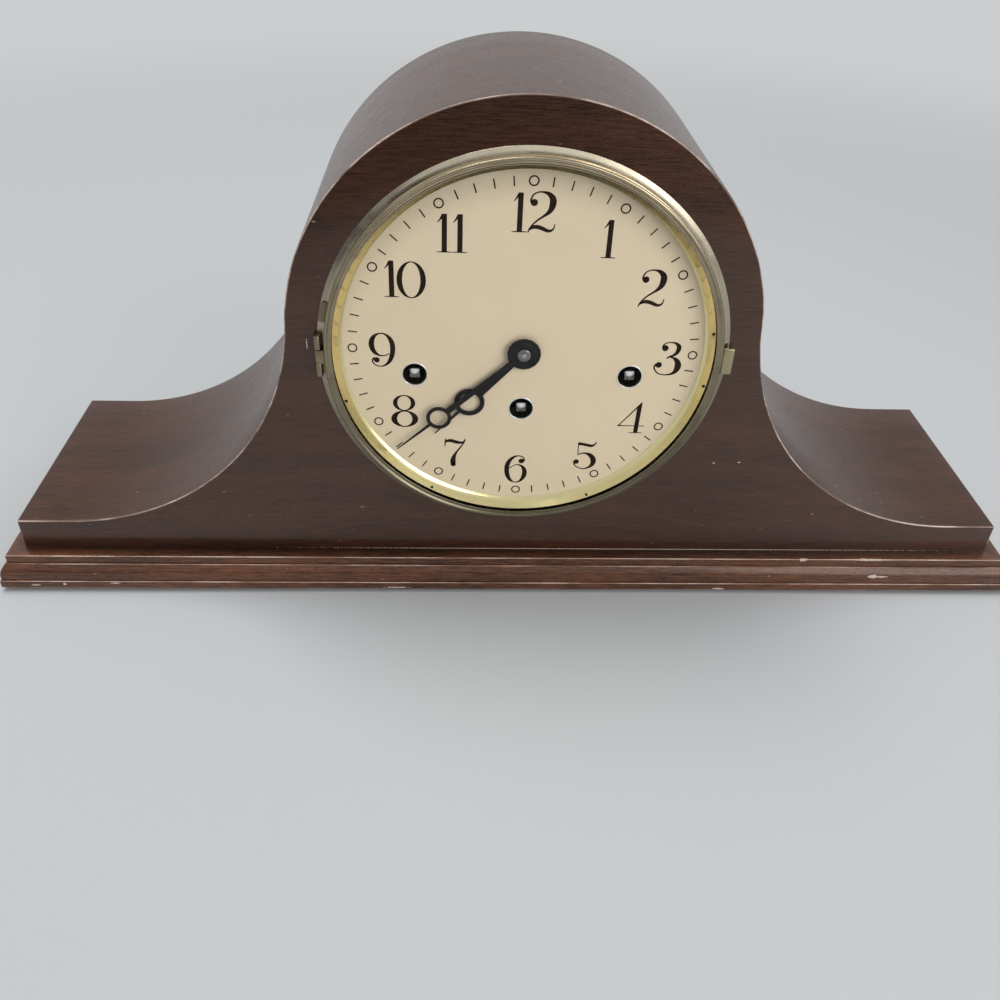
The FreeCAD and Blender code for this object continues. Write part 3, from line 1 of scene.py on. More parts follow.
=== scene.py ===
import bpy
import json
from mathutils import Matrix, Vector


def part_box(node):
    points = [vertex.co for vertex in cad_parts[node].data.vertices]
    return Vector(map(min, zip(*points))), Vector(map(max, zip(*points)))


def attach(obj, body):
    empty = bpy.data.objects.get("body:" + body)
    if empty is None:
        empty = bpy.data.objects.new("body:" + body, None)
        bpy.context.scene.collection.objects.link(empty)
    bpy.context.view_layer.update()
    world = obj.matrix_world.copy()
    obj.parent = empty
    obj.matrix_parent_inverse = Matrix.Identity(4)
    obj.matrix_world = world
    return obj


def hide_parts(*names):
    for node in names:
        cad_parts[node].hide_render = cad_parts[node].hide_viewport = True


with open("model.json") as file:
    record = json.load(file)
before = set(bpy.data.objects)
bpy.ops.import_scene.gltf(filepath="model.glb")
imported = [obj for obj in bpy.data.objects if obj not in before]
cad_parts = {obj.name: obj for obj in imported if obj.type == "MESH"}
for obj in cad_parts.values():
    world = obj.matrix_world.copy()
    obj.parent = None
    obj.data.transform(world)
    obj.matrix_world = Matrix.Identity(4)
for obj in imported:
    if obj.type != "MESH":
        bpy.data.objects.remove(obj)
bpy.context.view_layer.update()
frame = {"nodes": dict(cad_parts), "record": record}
nodes = frame["nodes"]

# %% [markdown]
# The clock is a low wooden case with a round top and two long wings. Its solids come from the frame,
# already in place. This script gives each visible surface its real edge, its finish and its printing.
# Every shape below is worked out in millimetres as arrays of points, and turned to metres only when the
# mesh is made.

# %% Tools of the bench
import json
import math

import bpy
import bmesh
import numpy as np
from mathutils import Matrix, Vector
from mathutils.geometry import tessellate_polygon

MM = 0.001
FACE_Y = -58.5
BASE_TOP = 19.7
DIAL_Z = 133.7


def turn(angle):
    """An angle in degrees as radians."""
    return math.radians(angle)


def middle_of(node):
    """The middle of a solid's box as seen from the front: x and z in mm."""
    low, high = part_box(node)
    return [(low[axis] + high[axis]) / 2 / MM for axis in (0, 2)]


# %% [markdown]
# The camera comes first, because everything is judged through it. The photograph was taken from above and
# a little to the left, from less than half a metre in front, which is why the wings seem to splay. The
# lens and the tilt were solved from the corners of the case and from the minute track, and are only
# written down here.

# %% Camera
def aim(yaw, pitch, roll):
    """The camera's right, up and backward axes: yaw to the right about Z, then pitch up, then roll."""
    forward = Vector((math.sin(yaw) * math.cos(pitch), math.cos(yaw) * math.cos(pitch), math.sin(pitch)))
    right = Vector((math.cos(yaw), -math.sin(yaw), 0))
    up = right.cross(forward)
    across = right * math.cos(roll) + up * math.sin(roll)
    over = up * math.cos(roll) - right * math.sin(roll)
    return across, over, -forward


YAW, PITCH, ROLL = 2.83, -36.79, 2.10
EYE = Vector((-27.4, -438.8, 336.5)) * MM
lens = bpy.data.cameras.new("photo_camera")
lens.sensor_width = 36
lens.lens = 33.88
lens.clip_start = 0.01
scene = bpy.context.scene
camera = bpy.data.objects.new("photo_camera", lens)
scene.collection.objects.link(camera)
axes = Matrix(aim(turn(YAW), turn(PITCH), turn(ROLL))).transposed()
camera.matrix_world = Matrix.Translation(EYE) @ axes.to_4x4()
scene.camera = camera
print("camera stands", round(-EYE.y, 3), "m in front, looking down", -PITCH, "degrees")

# %% [markdown]
# A material in Blender is a graph of nodes. Written out in full, each node takes four lines, so a bench
# of short calls comes first: a call places a node, joins it and hands back its output.

# %% Node helpers
class Bench:
    """Short calls to place and join the nodes of one tree."""

    def __init__(self, tree):
        self.tree = tree

    def node(self, kind, **values):
        """A new node with its settings."""
        made = self.tree.nodes.new(kind)
        for name, value in values.items():
            setattr(made, name, value)
        return made

    def feed(self, source, target):
        """Joins a socket to an input, or writes a plain value there."""
        if isinstance(source, bpy.types.NodeSocket):
            self.tree.links.new(source, target)
        else:
            target.default_value = source

    def math(self, operation, first, second=0.0, clamp=False):
        """One step of arithmetic on two values, kept between 0 and 1 if clamped."""
        step = self.node("ShaderNodeMath", operation=operation, use_clamp=clamp)
        self.feed(first, step.inputs[0])
        self.feed(second, step.inputs[1])
        return step.outputs[0]

    def add(self, start, *terms):
        """A plain number plus each value times its weight."""
        total = start
        for value, weight in terms:
            total = self.math("ADD", self.math("MULTIPLY", value, weight), total)
        return total

    def vector(self, operation, first, second=None):
        """A vector worked out from one or two others, or the length of one."""
        step = self.node("ShaderNodeVectorMath", operation=operation)
        self.feed(first, step.inputs[0])
        if second is not None:
            self.feed(second, step.inputs[1])
        return step.outputs["Value" if operation == "LENGTH" else "Vector"]

    def ramp(self, value, low, high, out_low=0.0, out_high=1.0):
        """The value stretched from low..high to out_low..out_high, smoothly and no further."""
        step = self.node("ShaderNodeMapRange", interpolation_type="SMOOTHSTEP")
        self.feed(value, step.inputs["Value"])
        limits = {"From Min": low, "From Max": high, "To Min": out_low, "To Max": out_high}
        for name, number in limits.items():
            self.feed(number, step.inputs[name])
        return step.outputs["Result"]

    def stretch(self, vector, scale):
        """A coordinate times a factor along each axis: the larger the factor, the finer the pattern."""
        step = self.node("ShaderNodeMapping")
        self.feed(vector, step.inputs["Vector"])
        step.inputs["Scale"].default_value = scale
        return step.outputs["Vector"]

    def noise(self, vector, scale=1.0, detail=4.0, rough=0.55):
        """Cloudy values round a half, with about so many clouds to the unit."""
        step = self.node("ShaderNodeTexNoise")
        self.feed(vector, step.inputs["Vector"])
        for name, number in zip(("Scale", "Detail", "Roughness"), (scale, detail, rough)):
            step.inputs[name].default_value = number
        return step.outputs["Fac"]

    def mix(self, share, first, second):
        """The first colour turned into the second by a share."""
        step = self.node("ShaderNodeMix", data_type="RGBA")
        for source, target in ((share, 0), (first, 6), (second, 7)):
            self.feed((*source, 1) if isinstance(source, tuple) else source, step.inputs[target])
        return step.outputs[2]

    def bump(self, height, distance, strength):
        """A normal tilted as by a height of so many metres."""
        step = self.node("ShaderNodeBump")
        step.inputs["Distance"].default_value = distance
        step.inputs["Strength"].default_value = strength
        self.feed(height, step.inputs["Height"])
        return step.outputs["Normal"]

    def mix_shaders(self, share, first, second, output):
        """Joins two shaders to an output node: all of the second where the share is 1."""
        step = self.node("ShaderNodeMixShader")
        for source, target in zip((share, first, second), step.inputs):
            self.feed(source, target)
        self.feed(step.outputs[0], self.tree.nodes[output].inputs["Surface"])


# %% [markdown]
# Effects that several finishes share are node groups, built once. A group takes a coordinate and puts out
# masks and heights. The shader stays in each material, with the values that are the same all over set on
# its own sockets.

# %% Groups and materials
def effect(name, vectors, values, outputs):
    """A new node group with named sockets: its bench, the sockets it is given and those it fills."""
    tree = bpy.data.node_groups.new(name, "ShaderNodeTree")
    sockets = [(label, "INPUT", "NodeSocketVector") for label in vectors]
    sockets += [(label, "INPUT", "NodeSocketFloat") for label in values]
    sockets += [(label, "OUTPUT", "NodeSocketFloat") for label in outputs]
    for label, way, kind in sockets:
        tree.interface.new_socket(name=label, in_out=way, socket_type=kind)
    bench = Bench(tree)
    return bench, bench.node("NodeGroupInput").outputs, bench.node("NodeGroupOutput").inputs


def use(bench, group, **values):
    """The group placed in a material, with its inputs fed."""
    made = bench.node("ShaderNodeGroup")
    made.node_tree = group
    for name, value in values.items():
        bench.feed(value, made.inputs[name])
    return made.outputs


def new_material(name):
    """An empty material: itself, its bench and its Principled shader."""
    material = bpy.data.materials.new(name)
    material.use_nodes = True
    return material, Bench(material.node_tree), material.node_tree.nodes["Principled BSDF"]


# %% [markdown]
# The light is plain: an even pale room, a broad soft lamp overhead, a little behind and to the left, as
# by a window, and a weaker one low at the right in front. The first makes the roof shine, the second the
# right end of the base. Camera, mirrors and glass are shown the same pale backdrop, and the floor keeps
# the clock's shadow.

# %% Light
scene.view_settings.view_transform = "Standard"
PALE = (0.60, 0.615, 0.625, 1)
ROOM = (0.415, 0.405, 0.395, 1)


def seen_ray(bench):
    """1 for rays that show a surface: from the camera, in a mirror or through glass. 0 for light."""
    path = bench.node("ShaderNodeLightPath").outputs
    mirrored = bench.math("MAXIMUM", path["Is Camera Ray"], path["Is Glossy Ray"])
    return bench.math("MAXIMUM", mirrored, path["Is Transmission Ray"])


def soft_lamp(name, place, target, wide, power):
    """A square area lamp at a place, turned so that its face looks at the target."""
    light = bpy.data.lights.new(name, "AREA")
    light.shape = "SQUARE"
    light.size = wide
    light.energy = power
    lamp = bpy.data.objects.new(name, light)
    way = Vector(target) - Vector(place)
    lamp.matrix_world = Matrix.Translation(place) @ way.to_track_quat("-Z", "Y").to_matrix().to_4x4()
    scene.collection.objects.link(lamp)


world = bpy.data.worlds.new("pale_room")
world.use_nodes = True
scene.world = world
room = Bench(world.node_tree)
room_light = world.node_tree.nodes["Background"]
room_light.inputs["Color"].default_value = ROOM
backdrop = room.node("ShaderNodeBackground")
backdrop.inputs["Color"].default_value = PALE
room.mix_shaders(seen_ray(room), room_light.outputs[0], backdrop.outputs[0], "World Output")
soft_lamp("window", (-0.35, 0.28, 1.6), (0, 0, 0.05), 0.9, 14)
soft_lamp("side_window", (1.0, -1.15, 0.72), (0, 0, 0.1), 1.1, 9)
print(len(bpy.data.lights), "lamps and a pale room")

# %% [markdown]
# The floor is a plain pale sheet that takes the clock's shadow. Far away it turns by degrees into the
# backdrop's own colour, for the same rays that see the backdrop, so that no horizon shows behind the
# clock.

# %% Floor
FLOOR_HALF = 9
FADE_FROM, FADE_TO = 0.45, 1.5


def stage_piece(name, corners, faces, material):
    """Flat faces that stand round the clock and aren't part of it."""
    mesh = bpy.data.meshes.new(name)
    mesh.from_pydata(corners, [], faces)
    mesh.materials.append(material)
    thing = bpy.data.objects.new(name, mesh)
    scene.collection.objects.link(thing)
    return thing


pale_floor, bench, shader = new_material("pale_floor")
shader.inputs["Base Color"].default_value = (0.600, 0.628, 0.650, 1)
shader.inputs["Roughness"].default_value = 0.9
far = bench.node("ShaderNodeEmission")
far.inputs["Color"].default_value = PALE
distance = bench.vector("LENGTH", bench.node("ShaderNodeTexCoord").outputs["Object"])
share = bench.math("MULTIPLY", bench.ramp(distance, FADE_FROM, FADE_TO), seen_ray(bench))
bench.mix_shaders(share, shader.outputs[0], far.outputs[0], "Material Output")
floor_corners = [(x * FLOOR_HALF, y * FLOOR_HALF, 0) for x, y in ((-1, -1), (1, -1), (1, 1), (-1, 1))]
stage_piece("floor", floor_corners, [(0, 1, 2, 3)], pale_floor)
print("floor", 2 * FLOOR_HALF, "m wide, the backdrop's colour from", FADE_TO, "m outward")

# %% [markdown]
# The lacquer mirrors what lies in front of the clock: low down the pale floor, higher up whatever is
# further away, which in the photograph is dark. A studio does that with a black flag. This one lies on
# the floor in front, past the camera's view, with a low upright card along its far side, short of the
# right end. Only reflections see it.

# %% Flag
FLAG_LEFT, FLAG_RIGHT, FLAG_NEAR, FLAG_FAR, FLAG_LOW = -1.5, 1.5, -0.66, -1.5, 0.001
WALL_RIGHT, WALL_HIGH = 0.7, 0.36
dark_card, bench, shader = new_material("dark_card")
shader.inputs["Base Color"].default_value = (0.03, 0.028, 0.026, 1)
flag = stage_piece("flag", [
    (FLAG_LEFT, FLAG_FAR, FLAG_LOW), (FLAG_RIGHT, FLAG_FAR, FLAG_LOW), (FLAG_RIGHT, FLAG_NEAR, FLAG_LOW),
    (FLAG_LEFT, FLAG_NEAR, FLAG_LOW), (WALL_RIGHT, FLAG_FAR, WALL_HIGH), (FLAG_LEFT, FLAG_FAR, WALL_HIGH),
    (WALL_RIGHT, FLAG_FAR, FLAG_LOW),
], [(0, 1, 2, 3), (0, 6, 4, 5)], dark_card)
flag.visible_camera = False
flag.visible_diffuse = False
flag.visible_transmission = False
flag.visible_shadow = False
print("flag", FLAG_RIGHT - FLAG_LEFT, "m wide, its upright card", WALL_HIGH, "m high")

# %% [markdown]
# All pieces are built from sheets and flat faces. A sheet is a grid of points, rows by columns, joined by
# four-sided faces. A fill is a flat area between outlines. Each point also carries a wear value, which is
# 1 on an edge that hands and dusters rub, and a grain coordinate in metres, so that the wood's figure
# runs the right way.

# %% From arrays to meshes
def sheet_of(points, wear=0.0, grain=None, loop_rows=False, loop_columns=False):
    """Four-sided faces between neighbouring points of a grid (rows, columns, 3)."""
    points = np.asarray(points, float)
    rows, columns = points.shape[:2]
    index = np.arange(rows * columns).reshape(rows, columns)
    if loop_rows:
        index = np.vstack([index, index[:1]])
    if loop_columns:
        index = np.hstack([index, index[:, :1]])
    faces = np.stack([index[:-1, :-1], index[1:, :-1], index[1:, 1:], index[:-1, 1:]], -1).reshape(-1, 4)
    wear = np.broadcast_to(np.asarray(wear, float), (rows, columns)).ravel()
    if grain is None:
        grain = points[..., [0, 2]]
    return points.reshape(-1, 3), faces.tolist(), wear, np.asarray(grain, float).reshape(-1, 2)


def cap_of(points):
    """One flat many-sided face round a closed loop of places."""
    points = np.asarray(points, float)
    return points, [list(range(len(points)))], np.zeros(len(points)), points[:, [0, 2]]


def bar_of(rows, wear=0.0, grain=None):
    """A closed section carried along a way: its skin, and a flat face at each end."""
    return [sheet_of(rows, wear, grain, loop_rows=True), cap_of(rows[:, 0]), cap_of(rows[::-1, -1])]


def at_depth(outline, y):
    """An outline of x and z as places of the clock, all at one y."""
    outline = np.asarray(outline, float)
    return np.column_stack([outline[:, 0], np.full(len(outline), y), outline[:, 1]])


def fill_of(outer, holes, y):
    """A flat area that faces the front, at one y: the outer outline less its holes."""
    flat = [[Vector((x, z, 0)) for x, z in loop] for loop in (outer, *holes)]
    faces = [list(face) for face in tessellate_polygon(flat)]
    points = at_depth(np.vstack([outer, *holes]), y)
    return points, faces, np.zeros(len(points)), points[:, [0, 2]]


# %% [markdown]
# A piece is its surfaces put together: points merged, faces turned outward, sharp edges kept sharp. It then
# rides with a body of the clock, takes its finish, and says which solids it stands for.

# %% From surfaces to pieces
def bench_piece(name, parts, body, material, replaces=(), smooth=32, join=0.004):
    """One object out of several surfaces given in millimetres, merged, with normals outward."""
    offset = 0
    points, faces, wear, grain = [], [], [], []
    for part in parts:
        points.append(part[0])
        faces += [[corner + offset for corner in face] for face in part[1]]
        wear.append(part[2])
        grain.append(part[3])
        offset += len(part[0])
    mesh = bpy.data.meshes.new(name)
    mesh.from_pydata((np.vstack(points) * MM).tolist(), [], faces)
    rub = mesh.attributes.new("wear", "FLOAT", "POINT")
    rub.data.foreach_set("value", np.concatenate(wear))
    along = mesh.attributes.new("grain", "FLOAT_VECTOR", "POINT")
    flat = np.vstack(grain) * MM
    along.data.foreach_set("vector", np.column_stack([flat, np.zeros(len(flat))]).ravel())
    shell = bmesh.new()
    shell.from_mesh(mesh)
    bmesh.ops.remove_doubles(shell, verts=shell.verts, dist=join * MM)
    bmesh.ops.recalc_face_normals(shell, faces=shell.faces)
    shell.to_mesh(mesh)
    shell.free()
    mesh.shade_smooth()
    mesh.set_sharp_from_angle(angle=turn(smooth))
    thing = bpy.data.objects.new(name, mesh)
    scene.collection.objects.link(thing)
    mesh.materials.append(material)
    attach(thing, body)
    if replaces:
        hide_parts(*replaces)
    print(name, len(mesh.polygons), "faces")


# %% [markdown]
# Mahogany veneer has three things at three scales: cloudy bands about twelve centimetres long and less
# than two wide, fine lines a little under a millimetre apart that run with the grain, and open pores,
# short dark dashes about three millimetres long. All three are noise stretched along the grain, by about
# eight, seventeen and nine to one.

# %% Effect: wood figure
bench, given, result = effect("wood_figure", ["Vector"], [], ["Bands", "Lines", "Pores", "Height"])
where = given["Vector"]
bands = bench.noise(bench.stretch(where, (8, 60, 30)), 1, 3)
lines = bench.noise(bench.stretch(where, (75, 1250, 400)), 1, 3, 0.6)
dashes = bench.noise(bench.stretch(where, (300, 2600, 900)), 1, 2, 0.5)
pores = bench.ramp(dashes, 0.56, 0.68)
bench.feed(bench.ramp(bands, 0.3, 0.7), result["Bands"])
bench.feed(bench.ramp(lines, 0.32, 0.68), result["Lines"])
bench.feed(pores, result["Pores"])
bench.feed(bench.add(0.0, (lines, 0.35), (pores, -1)), result["Height"])
wood_figure = bench.tree
print("wood figure:", len(wood_figure.nodes), "nodes")

# %% [markdown]
# Edges of a polished case go pale where they are dusted: the lacquer rubs off and the bare wood shows
# tan, here and there almost white. The effect multiplies the wear value of the mesh by two noises, so the
# pale line comes and goes. Small dents are the rare peaks of another noise.

# %% Effect: rubbed edges
bench, given, result = effect("rubbed_edges", ["Vector"], ["Wear", "Amount"], ["Tan", "Pale", "Dents"])
where = given["Vector"]
worn = bench.math("MULTIPLY", given["Wear"], given["Amount"])
long_patches = bench.ramp(bench.noise(bench.stretch(where, (16, 60, 16)), 1, 3), 0.38, 0.62)
short_patches = bench.ramp(bench.noise(bench.stretch(where, (90, 400, 90)), 1, 4), 0.36, 0.60)
bench.feed(bench.math("MULTIPLY", worn, bench.math("ADD", long_patches, 0.35), True), result["Tan"])
pale = bench.math("MULTIPLY", long_patches, short_patches)
bench.feed(bench.math("MULTIPLY", worn, pale, True), result["Pale"])
dents = bench.ramp(bench.noise(bench.stretch(where, (160, 420, 160)), 1, 2, 0.4), 0.735, 0.78)
bench.feed(dents, result["Dents"])
rubbed_edges = bench.tree
print("rubbed edges:", len(rubbed_edges.nodes), "nodes")

# %% [markdown]
# A chip is a soft ellipsoid in space whose border is torn by noise: inside it, the lacquer is gone. One long
# thin chip on the front is a painted highlight instead. The shade grows with the distance from a point. It
# is painted shade: on the dial under the rim of the bezel, on the lower part of the bezel and its flange, on
# the upper part of the sloping ring, and low on the winding squares.

# %% Effects: chip and shade
bench, given, result = effect("lacquer_chip", ["Vector", "Centre", "Half"], ["Torn"], ["Mask"])
from_centre = bench.vector("SUBTRACT", given["Vector"], given["Centre"])
reach = bench.vector("LENGTH", bench.vector("DIVIDE", from_centre, given["Half"]))
ragged = bench.math("ADD", reach, given["Torn"])
bench.feed(bench.ramp(ragged, 1.45, 1.65, 1.0, 0.0), result["Mask"])
lacquer_chip = bench.tree

bench, given, result = effect("painted_distance_shade", ["Vector", "Centre"], ["Near", "Far", "Depth"], ["Shade"])
from_centre = bench.vector("SUBTRACT", given["Vector"], given["Centre"])
reach = bench.vector("LENGTH", from_centre)
bench.feed(bench.ramp(reach, given["Near"], given["Far"], 0.0, given["Depth"]), result["Shade"])
painted_distance_shade = bench.tree
print("chip and shade:", len(lacquer_chip.nodes), "and", len(painted_distance_shade.nodes), "nodes")

# %% [markdown]
# Brushing leaves fine lines that run one way, and years leave a cloud of tarnish and small spots. The
# effect gives the three as masks, and each metal decides how much of them it takes.

# %% Effect: brushed lines
bench, given, result = effect("brushed_lines", ["Vector"], [], ["Lines", "Cloud", "Spots"])
where = given["Vector"]
bench.feed(bench.noise(bench.stretch(where, (60, 2600, 2600)), 1, 3), result["Lines"])
bench.feed(bench.ramp(bench.noise(where, 55, 4), 0.35, 0.68), result["Cloud"])
bench.feed(bench.ramp(bench.noise(where, 420, 3), 0.62, 0.74), result["Spots"])
brushed_lines = bench.tree
print("brushed lines:", len(brushed_lines.nodes), "nodes")

# %% [markdown]
# Polished wood is laid up as on the real case: dark and light by the figure, pores and inside corners darker
# still, then tan and almost white where the lacquer is rubbed through or broken off, and a clear coat over
# all. One pale line on the front is a painted highlight instead.

# %% Wood
def coordinate(bench, source):
    """The grain coordinate of a bench piece, or Object coordinates, or those with Y and Z exchanged."""
    if source == "grain":
        return bench.node("ShaderNodeAttribute", attribute_name="grain").outputs["Vector"]
    place = bench.node("ShaderNodeTexCoord").outputs["Object"]
    if source == "object":
        return place
    parts = bench.node("ShaderNodeSeparateXYZ")
    swapped = bench.node("ShaderNodeCombineXYZ")
    bench.feed(place, parts.inputs["Vector"])
    for first, second in (("X", "X"), ("Z", "Y"), ("Y", "Z")):
        bench.feed(parts.outputs[first], swapped.inputs[second])
    return swapped.outputs["Vector"]


def chip_and_highlight_mask(bench, spots):
    """The greatest of several chips, each a (centre, half sizes) in mm."""
    place = coordinate(bench, "object")
    torn = bench.math("MULTIPLY", bench.noise(place, 700, 3), 1.5)
    mask = 0.0
    for centre, half in spots:
        chip = use(bench, lacquer_chip, Vector=place, Torn=torn, Centre=[c * MM for c in centre],
                   Half=[h * MM for h in half])
        mask = bench.math("MAXIMUM", chip["Mask"], mask)
    return mask


def wood(name, dark, light, source="grain", amount=1.0, rough=0.34, coat=0.5, tan=(0.58, 0.42, 0.35),
         chips=(), relief=0.8, tint=(1, 0.72, 0.58)):
    """Polished wood: dark and light follow the figure, pores darken it, edges rub through to tan.

    A wear below 0 darkens the colour, as in the inside corner of the base. Chips are pale places where the
    lacquer is broken off; the front's list also holds one long painted highlight.
    """
    material, bench, shader = new_material(name)
    where = coordinate(bench, source)
    figure = use(bench, wood_figure, Vector=where)
    colour = bench.mix(bench.add(0.0, (figure["Bands"], 0.45), (figure["Lines"], 0.55)), dark, light)
    colour = bench.mix(bench.math("MULTIPLY", figure["Pores"], 0.75), colour, tuple(v * 0.3 for v in dark))
    rubbing = bench.node("ShaderNodeAttribute", attribute_name="wear").outputs["Fac"]
    corner_dark = bench.math("MULTIPLY", rubbing, -0.85, True)
    colour = bench.mix(corner_dark, colour, tuple(v * 0.25 for v in dark))
    edges = use(bench, rubbed_edges, Vector=where, Wear=rubbing, Amount=amount)
    dents = bench.math("MULTIPLY", edges["Dents"], 0.5 * min(amount, 1))
    colour = bench.mix(bench.math("MULTIPLY", edges["Tan"], 0.9), colour, tan)
    colour = bench.mix(edges["Pale"], colour, (0.76, 0.65, 0.58))
    colour = bench.mix(dents, colour, (0.46, 0.36, 0.30))
    if chips:
        colour = bench.mix(chip_and_highlight_mask(bench, chips), colour, (0.70, 0.58, 0.50))
    bench.feed(colour, shader.inputs["Base Color"])
    roughness = bench.add(rough - 0.05, (figure["Lines"], 0.12), (edges["Tan"], 0.15))
    bench.feed(roughness, shader.inputs["Roughness"])
    shader.inputs["Specular Tint"].default_value = (*tint, 1)
    shader.inputs["Coat Weight"].default_value = coat
    shader.inputs["Coat Roughness"].default_value = 0.17
    shader.inputs["Coat Tint"].default_value = (1, 0.97, 0.95, 1)
    bench.feed(bench.bump(figure["Height"], 0.00006, relief), shader.inputs["Normal"])
    return material


# %% [markdown]
# Old brass and steel keep their colour in the shine alone. The brushed lines and the tarnish move how sharp
# that shine is, and a painted shade may darken it away from a point.

# %% Metal
def painted_shade(bench, colour, centre, near, far, depth):
    """The colour darkened with distance (mm) from a point given from the dial's middle: a painted shade."""
    centre = (centre[0] * MM, (FACE_Y + centre[1]) * MM, (DIAL_Z + centre[2]) * MM)
    shade = use(bench, painted_distance_shade, Vector=coordinate(bench, "object"), Centre=centre, Near=near * MM,
                Far=far * MM, Depth=depth)
    return bench.mix(shade["Shade"], colour, (0.02, 0.017, 0.008))


def metal(name, colour, rough, source="object", cloud=0.18, spots=(0.12, 0.09, 0.05), spotting=0.5,
          shade=None):
    """Metal: brushed lines move the roughness, a cloud of tarnish darkens it, small spots break it."""
    material, bench, shader = new_material(name)
    lines = use(bench, brushed_lines, Vector=coordinate(bench, source))
    tone = bench.mix(bench.math("MULTIPLY", lines["Cloud"], cloud), colour, tuple(v * 0.45 for v in colour))
    tone = bench.mix(bench.math("MULTIPLY", lines["Spots"], spotting), tone, spots)
    if shade:
        tone = painted_shade(bench, tone, *shade)
    bench.feed(tone, shader.inputs["Base Color"])
    shader.inputs["Metallic"].default_value = 1
    roughness = bench.add(rough - 0.05, (lines["Cloud"], min(0.12, cloud)), (lines["Lines"], 0.10))
    bench.feed(roughness, shader.inputs["Roughness"])
    bench.feed(bench.bump(lines["Lines"], 0.00002, 0.6), shader.inputs["Normal"])
    return material


# %% [markdown]
# Three woods come from the same function. The front stands upright and mirrors the dark, the roof is
# smoother under a thinner coat, and the base is the most rubbed and chipped. A chip is written as its middle
# and its half sizes. The front's long thin one along its foot is a painted highlight where the face meets
# the base.

# %% Woods of the case
FACE_CHIPS_AND_HIGHLIGHT = [
    ((-97.5, -58.5, 138), (0.24, 3, 3.4)),
    ((96.5, -58.5, 75.5), (0.8, 3, 0.4)),
    ((109, -58.5, 76), (0.8, 3, 0.4)),
    # Painted highlight: a long thin pale line along the foot of the face, where it meets the base.
    ((60, -58.5, 20.0), (190, 3, 0.27)),
]
BASE_CHIPS = [
    ((152, -66, 19.4), (2.2, 1.3, 1.3)),
    ((187, -66, 19.5), (9.0, 1.2, 0.8)),
    ((190, -69, 10.8), (3.6, 3, 1.1)),
    ((194, -69, 10.8), (5.5, 3, 0.5)),
    ((108, -70.5, 3.0), (4.0, 2, 0.7)),
    ((-232, -70.5, 4.6), (1.2, 1.5, 0.8)),
    ((-247, -70.5, 4.0), (3.6, 1.5, 0.5)),
    ((-62, -70.5, 3.2), (8, 1.5, 0.4)),
    ((-206, -70.5, 5.4), (3, 1.5, 0.5)),
]
case_wood = wood("mahogany_front", (0.014, 0.0044, 0.0023), (0.078, 0.0250, 0.0115), amount=1.05, coat=0.7,
                 chips=FACE_CHIPS_AND_HIGHLIGHT)
roof_wood = wood("mahogany_roof", (0.020, 0.0072, 0.0045), (0.084, 0.030, 0.016), amount=1.0, rough=0.27,
                 coat=0.1, relief=0.35, tint=(1, 0.64, 0.48))
base_wood = wood("mahogany_base", (0.018, 0.0060, 0.0036), (0.205, 0.076, 0.034), amount=1.7, rough=0.28,
                 tan=(0.60, 0.40, 0.30), chips=BASE_CHIPS)
print(len(FACE_CHIPS_AND_HIGHLIGHT) + len(BASE_CHIPS), "chips in the lacquer")

# %% [markdown]
# The case outline is the clock's signature. From the foot of one wing it goes up the end, along the flat
# wing top, sweeps up through a hollow quarter, and turns into the round top. Drawn in by an inset the
# hollow's radius grows and the round top's radius shrinks, so every ring of the skin stays parallel.

# %% Case outline
HALF, WING, ARCH_R, ARCH_Z, HOLLOW_R = 252.5, 16.6, 107.0, 119.2, 120.9
HOLLOW_Z = WING + HOLLOW_R
HOLLOW_X = math.sqrt((ARCH_R + HOLLOW_R) ** 2 - (HOLLOW_Z - ARCH_Z) ** 2)
LEAN = math.atan2(HOLLOW_Z - ARCH_Z, HOLLOW_X)


def arc(cx, cz, radius, start, end, count):
    """Points at equal angles on a circle about (cx, cz), from start to end in radians."""
    angle = np.linspace(start, end, count)
    return np.column_stack([cx + radius * np.cos(angle), cz + radius * np.sin(angle)])


def circle(cx, cz, radius, count):
    """A full circle as a closed outline."""
    return arc(cx, cz, radius, 0, 2 * math.pi * (1 - 1 / count), count)


def hump(inset, corner=0.9):
    """The case outline, inset all round, from the right foot over the top to the left foot."""
    soft = max(corner - inset, 0.01)
    side, top = HALF - inset, WING - inset
    right = np.vstack([
        np.column_stack([np.full(4, side), np.linspace(0, top - soft, 4)]),
        arc(side - soft, top - soft, soft, 0, math.pi / 2, 6),
        np.column_stack([np.linspace(side - soft, HOLLOW_X, 5)[1:], np.full(4, top)]),
        arc(HOLLOW_X, HOLLOW_Z, HOLLOW_R + inset, -math.pi / 2, LEAN - math.pi, 40)[1:],
    ])
    crown = arc(0, ARCH_Z, ARCH_R - inset, LEAN, math.pi - LEAN, 97)
    return np.vstack([right, crown[1:-1], (right * (-1, 1))[::-1]])


def in_case(outline, y):
    """Outline points (x, z above the base) at depths y behind the face, as places of the clock."""
    outline = np.asarray(outline, float)
    depth = np.broadcast_to(np.asarray(y, float), outline.shape[:-1])
    return np.stack([outline[..., 0], FACE_Y + depth, BASE_TOP + outline[..., 1]], -1)


outline = hump(0)
steps = np.r_[0, np.cumsum(np.hypot(*np.diff(outline, axis=0).T))]
print("case outline:", len(outline), "points,", round(steps[-1]), "mm from foot to foot")

# %% [markdown]
# The roof is one bent sheet that wraps the case from foot to foot. Its section is a thin rectangle with a
# softened back corner, carried along the case outline: for every point of the section, the outline is
# drawn at that inset and that depth. The grain runs along the bend, so the grain coordinate is the length
# along it.

# %% Roof
def softened(radius, start, end, count=6):
    """Offsets round a rounded corner: sine and cosine of equal angles, times the radius."""
    angle = np.linspace(turn(start), turn(end), count)
    return radius * np.cos(angle), radius * np.sin(angle)


